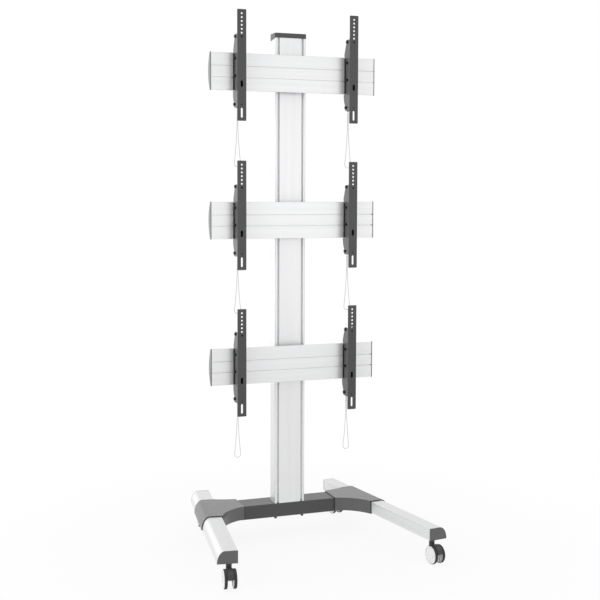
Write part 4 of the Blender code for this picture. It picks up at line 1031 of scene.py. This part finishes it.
def arm_holes():
    """The punched holes of an arm's face, in (x, z)."""
    row = [round_hole(0, ARM_TOP - HOLE_FIRST - number * HOLE_PITCH, HOLE_RADIUS)
           for number in range(HOLE_COUNT)]
    return [*row, upright_slot(ARM_TOP - OVAL_DROP, OVAL_LENGTH, OVAL_RADIUS),
            round_hole(0, ARM_TOP - SMALL_HOLE_DROP, SMALL_HOLE_RADIUS),
            upright_slot(ARM_TOP - LONG_SLOT_DROP, LONG_SLOT_LENGTH, LONG_SLOT_RADIUS)]


def flange_outline():
    """Side flange in (y, z), with an ear round the pivot and one round the lock screw."""
    front = arm_front + ARM_PLATE / 2
    shallow = arm_front + FLANGE_DEPTH
    pivot = arm_front + PIVOT[0] + EAR_REACH
    lock = arm_front + LOCK[0] + EAR_REACH
    return [(front, FLANGE_TOP), (pivot, FLANGE_TOP, EAR_ROUND),
            (pivot, FLANGE_TOP - 0.0196, EAR_ROUND), (shallow, FLANGE_TOP - 0.0336, 0.003),
            (shallow, FLANGE_BOTTOM + 0.0448, 0.003), (lock, FLANGE_BOTTOM + 0.0252, EAR_ROUND),
            (lock, FLANGE_BOTTOM, EAR_ROUND), (front, FLANGE_BOTTOM)]


def lock_way():
    """The slot that the lock screw runs in while the arm tilts about its pivot, in (y, z)."""
    pivot = Vector((arm_front + PIVOT[0], PIVOT[1]))
    start = Vector((arm_front + LOCK[0], LOCK[1])) - pivot
    end = Matrix.Rotation(-TILT, 2) @ start
    out = start.normalized() * BOLT_WAY
    past = Vector((start.y, -start.x)).normalized() * BOLT_WAY
    corners = [pivot + start - out - past, pivot + start + out - past,
               pivot + end + out + past, pivot + end - out + past]
    return [(corner.x, corner.y, BOLT_WAY) for corner in corners]


def arm_channel():
    """The punched face with its two flanges."""
    half = ARM_WIDTH / 2
    outline = rectangle(-half, ARM_TOP - ARM_LENGTH, half, ARM_TOP, ARM_ROUND, ARM_ROUND)
    face = profile(outline, arm_front, arm_front + ARM_PLATE, ALONG_Y, arm_holes())
    outer = half - FLANGE_INSET
    pivot_hole = round_hole(arm_front + PIVOT[0], PIVOT[1], 0.0046)
    flange = profile(flange_outline(), outer - ARM_FLANGE, outer, ALONG_X,
                     [pivot_hole, lock_way()])
    return carved(face, ('UNION', mirrored(flange)))


for tag, spot in ARM_SEATS:
    place = Matrix.Translation(spot)
    piece(f"arm_channel_{tag}", moved(arm_channel(), place), arm_paint, f"arm_{tag}", "grey_paint",
          f"display_arm_{tag}", fillet=0.0007, segments=3)

# Latches
# A flat zinc-plated blade behind each rail's lower lip, pushed up by a spring. Its wire stem ends
# in a crimped ferrule that holds both ends of the pull cord.
LATCH_OVERLAP = 0.011
LATCH_DROP = 0.073
LATCH_TAPER = 0.012
LATCH_FOOT = 0.00385
LATCH_HOLE, LATCH_HOLE_UP = 0.002, 0.02
FERRULE_RADIUS = 0.003
FERRULE_LENGTH = 0.024
FERRULE_STEM = 0.006
STEM_RADIUS = 0.0013
CRIMP_DEPTH = 0.0007
CRIMP_ROUND = 0.0006
CRIMPS = (0.007, 0.015)
latch_foot = -RAIL_HALF - LATCH_DROP


def latch_blade():
    """A blade whose lower corners taper to its foot, with a small hole."""
    tip = -RAIL_HALF + LATCH_OVERLAP
    half = LATCH_WIDTH / 2
    taper = latch_foot + LATCH_TAPER
    outline = [(-half, taper, 0.003), (-LATCH_FOOT, latch_foot, 0.002),
               (LATCH_FOOT, latch_foot, 0.002), (half, taper, 0.003),
               (half, tip, 0.003), (-half, tip, 0.003)]
    return profile(outline, latch_front, latch_front + LATCH_THICKNESS, ALONG_Y,
                   [round_hole(0, latch_foot + LATCH_HOLE_UP, LATCH_HOLE)])


def cord_ferrule():
    """A ferrule with two crimped waists, under the stem that joins it to the blade."""
    top = latch_foot - FERRULE_STEM
    end = top - FERRULE_LENGTH
    waist = FERRULE_RADIUS - CRIMP_DEPTH
    corners = [(top, 0), (top, FERRULE_RADIUS, 0.0008)]
    for crimp in CRIMPS:
        for down, radius in ((0, FERRULE_RADIUS), (0.001, waist), (0.003, waist),
                             (0.004, FERRULE_RADIUS)):
            corners.append((top - crimp - down, radius, CRIMP_ROUND))
    corners += [(end, FERRULE_RADIUS, 0.0008), (end, 0)]
    upright = (Matrix.Translation((0, latch_front + LATCH_THICKNESS / 2, 0))
               @ Matrix.Rotation(math.radians(-90), 4, 'Y'))
    stem = [(latch_foot + 0.002, 0), (latch_foot + 0.002, STEM_RADIUS), (top - 0.002, STEM_RADIUS),
            (top - 0.002, 0)]
    return joined(spun(corners, upright, 32), spun(stem, upright, 20))


for tag, spot in ARM_SEATS:
    place = Matrix.Translation(spot)
    piece(f"latch_blade_{tag}", moved(latch_blade(), place), zinc_plate, f"latch_{tag}",
          "zinc_steel", f"latch_{tag}", fillet=0.0004)
    piece(f"cord_ferrule_{tag}", moved(cord_ferrule(), place), zinc_plate, f"latch_{tag}",
          "zinc_steel", fillet=0)

# Pull cords
# A loop of 2 mm braided cord hangs from each ferrule: down one strand, round the bottom and up
# the other. Pulling it draws the latch down and frees the arm.
CORD_DIAMETER = 0.002
CORD_ROUTE = ((-0.00135, 0.0), (-0.00157, -0.02104), (-0.00211, -0.04208), (-0.00294, -0.06323),
              (-0.00402, -0.08433), (-0.00534, -0.10555), (-0.0069, -0.12668), (-0.00867, -0.14789),
              (-0.01067, -0.1691), (-0.01293, -0.18716), (-0.01316, -0.19641), (-0.01186, -0.20181),
              (-0.00978, -0.20531), (-0.00764, -0.2072), (-0.00462, -0.20844), (0.0, -0.209))
STRAND_SCALE = 900


def cord_braid():
    """Pale braided cord: crossed strands a fraction of a millimetre wide, and a little soiling."""
    made, tree, shader = material("braided_cord")
    fill(shader, sheen_weight=0.2, roughness=0.8)
    place = node(tree, 'TexCoord')
    cross = node(tree, 'Math', operation='MAXIMUM')
    for index, slant in enumerate((STRAND_SCALE, -STRAND_SCALE)):
        scaled = node(tree, 'VectorMath', operation='MULTIPLY')
        scaled.inputs[1].default_value = (slant, slant, STRAND_SCALE)
        wave = node(tree, 'TexWave', wave_type='BANDS', bands_direction='DIAGONAL',
                    scale=1.0, distortion=0.3, detail=1.0)
        wire(tree, (place, "Object", scaled, 0), (scaled, "Vector", wave, "Vector"),
             (wave, "Fac", cross, index))
    soil = noise_map(tree, scale=60.0, detail=4.0)
    tone = node(tree, 'Mix', data_type='RGBA', a=(0.50, 0.49, 0.47, 1),
                b=(0.70, 0.70, 0.69, 1))
    shade = node(tree, 'Mix', data_type='RGBA', blend_type='MULTIPLY', factor=0.35)
    bump = node(tree, 'Bump', strength=0.7, distance=0.0002)
    wire(tree, (cross, "Value", tone, "Factor"), (tone, "Result", shade, "A"),
         (soil, "Fac", shade, "B"), (shade, "Result", shader, "Base Color"),
         (cross, "Value", bump, "Height"), (bump, "Normal", shader, "Normal"))
    return made


braided_cord = cord_braid()

for tag, spot in ARM_SEATS:
    leave = Vector((spot[0], latch_front + LATCH_THICKNESS / 2,
                    spot[2] + latch_foot - FERRULE_STEM - FERRULE_LENGTH - CLEARANCE))
    curve = fill(bpy.data.curves.new(f"cord_loop_{tag}", 'CURVE'), dimensions='3D',
                 bevel_depth=CORD_DIAMETER / 2, bevel_resolution=3, resolution_u=4,
                 use_fill_caps=True)
    route = [*CORD_ROUTE, *((-aside, down) for aside, down in CORD_ROUTE[-2::-1])]
    spline = curve.splines.new('BEZIER')
    spline.bezier_points.add(len(route) - 1)
    for point, (aside, down) in zip(spline.bezier_points, route):
        fill(point, co=leave + Vector((aside, 0, down)), handle_left_type='AUTO',
             handle_right_type='AUTO')
    curve.materials.append(braided_cord)
    loop_cord = placed(f"cord_loop_{tag}", curve)
    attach(loop_cord, f"latch_{tag}")
    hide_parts(f"pull_cord_{tag}")

# Floor
# A plain pale floor that runs out into the white surroundings and keeps the stand's soft shadow.
FLOOR_RADIUS = 14
FLOOR_DROP = 0.0002
FADE_FROM, FADE_TO = 0.5, 1.6


def seen_part(tree):
    """One for rays from the camera and for mirrored ones, zero for all others."""
    ray = node(tree, 'LightPath')
    either = node(tree, 'Math', operation='MAXIMUM')
    wire(tree, (ray, "Is Camera Ray", either, 0), (ray, "Is Glossy Ray", either, 1))
    return either


floor_bm = bmesh.new()
bmesh.ops.create_circle(floor_bm, cap_ends=True, segments=96, radius=FLOOR_RADIUS)
floor = placed("floor", meshed(floor_bm, "floor"))
floor.location = (0, 0, -FLOOR_DROP)
floor_skin, tree, matt = material("pale_floor")
fill(matt, roughness=0.9, base_color=(0.86, 0.86, 0.86, 1))
glow = node(tree, 'Emission')
place = node(tree, 'TexCoord')
distance = node(tree, 'VectorMath', operation='LENGTH')
fade = node(tree, 'MapRange', from_min=FADE_FROM, from_max=FADE_TO, to_min=0.88)
amount = node(tree, 'Math', operation='MULTIPLY')
blend = node(tree, 'MixShader')
wire(tree, (place, "Object", distance, 0), (distance, "Value", fade, "Value"),
     (fade, "Result", amount, 0), (seen_part(tree), "Value", amount, 1),
     (amount, "Value", blend, "Fac"), (matt, "BSDF", blend, 1), (glow, "Emission", blend, 2),
     (blend, "Shader", tree.nodes["Material Output"], "Surface"))
floor.data.materials.append(floor_skin)

# Light
# Soft studio light: an even pale surround with three broad lamps, a strong one high up on the left,
# a weaker one in front and one behind.
SURROUND = 0.75
world = bpy.data.worlds.new("surround")
world.use_nodes = True
bpy.context.scene.world = world
tree = world.node_tree
sky = tree.nodes["Background"]
sky.inputs["Color"].default_value = (1, 1, 1, 1)
level = node(tree, 'MapRange', to_min=SURROUND)
wire(tree, (seen_part(tree), "Value", level, "Value"), (level, "Result", sky, "Strength"))

LAMPS = (("key_lamp", (-3.9, -1.7, 2.5), (0, 0, 0.9), 2.6, 42),
         ("fill_lamp", (1.8, -4.4, 1.6), (0, 0, 0.7), 2.6, 14),
         ("rim_lamp", (-2.4, 3.8, 1.4), (0, 0, 0.9), 3.0, 20))
for label, spot, aim, size, power in LAMPS:
    lamp = placed(label, fill(bpy.data.lights.new(label, 'AREA'), shape='SQUARE', size=size,
                              energy=power))
    lamp.location = spot
    lamp.rotation_euler = (Vector(aim) - Vector(spot)).to_track_quat('-Z', 'Y').to_euler()

bpy.context.scene.view_settings.view_transform = 'Standard'
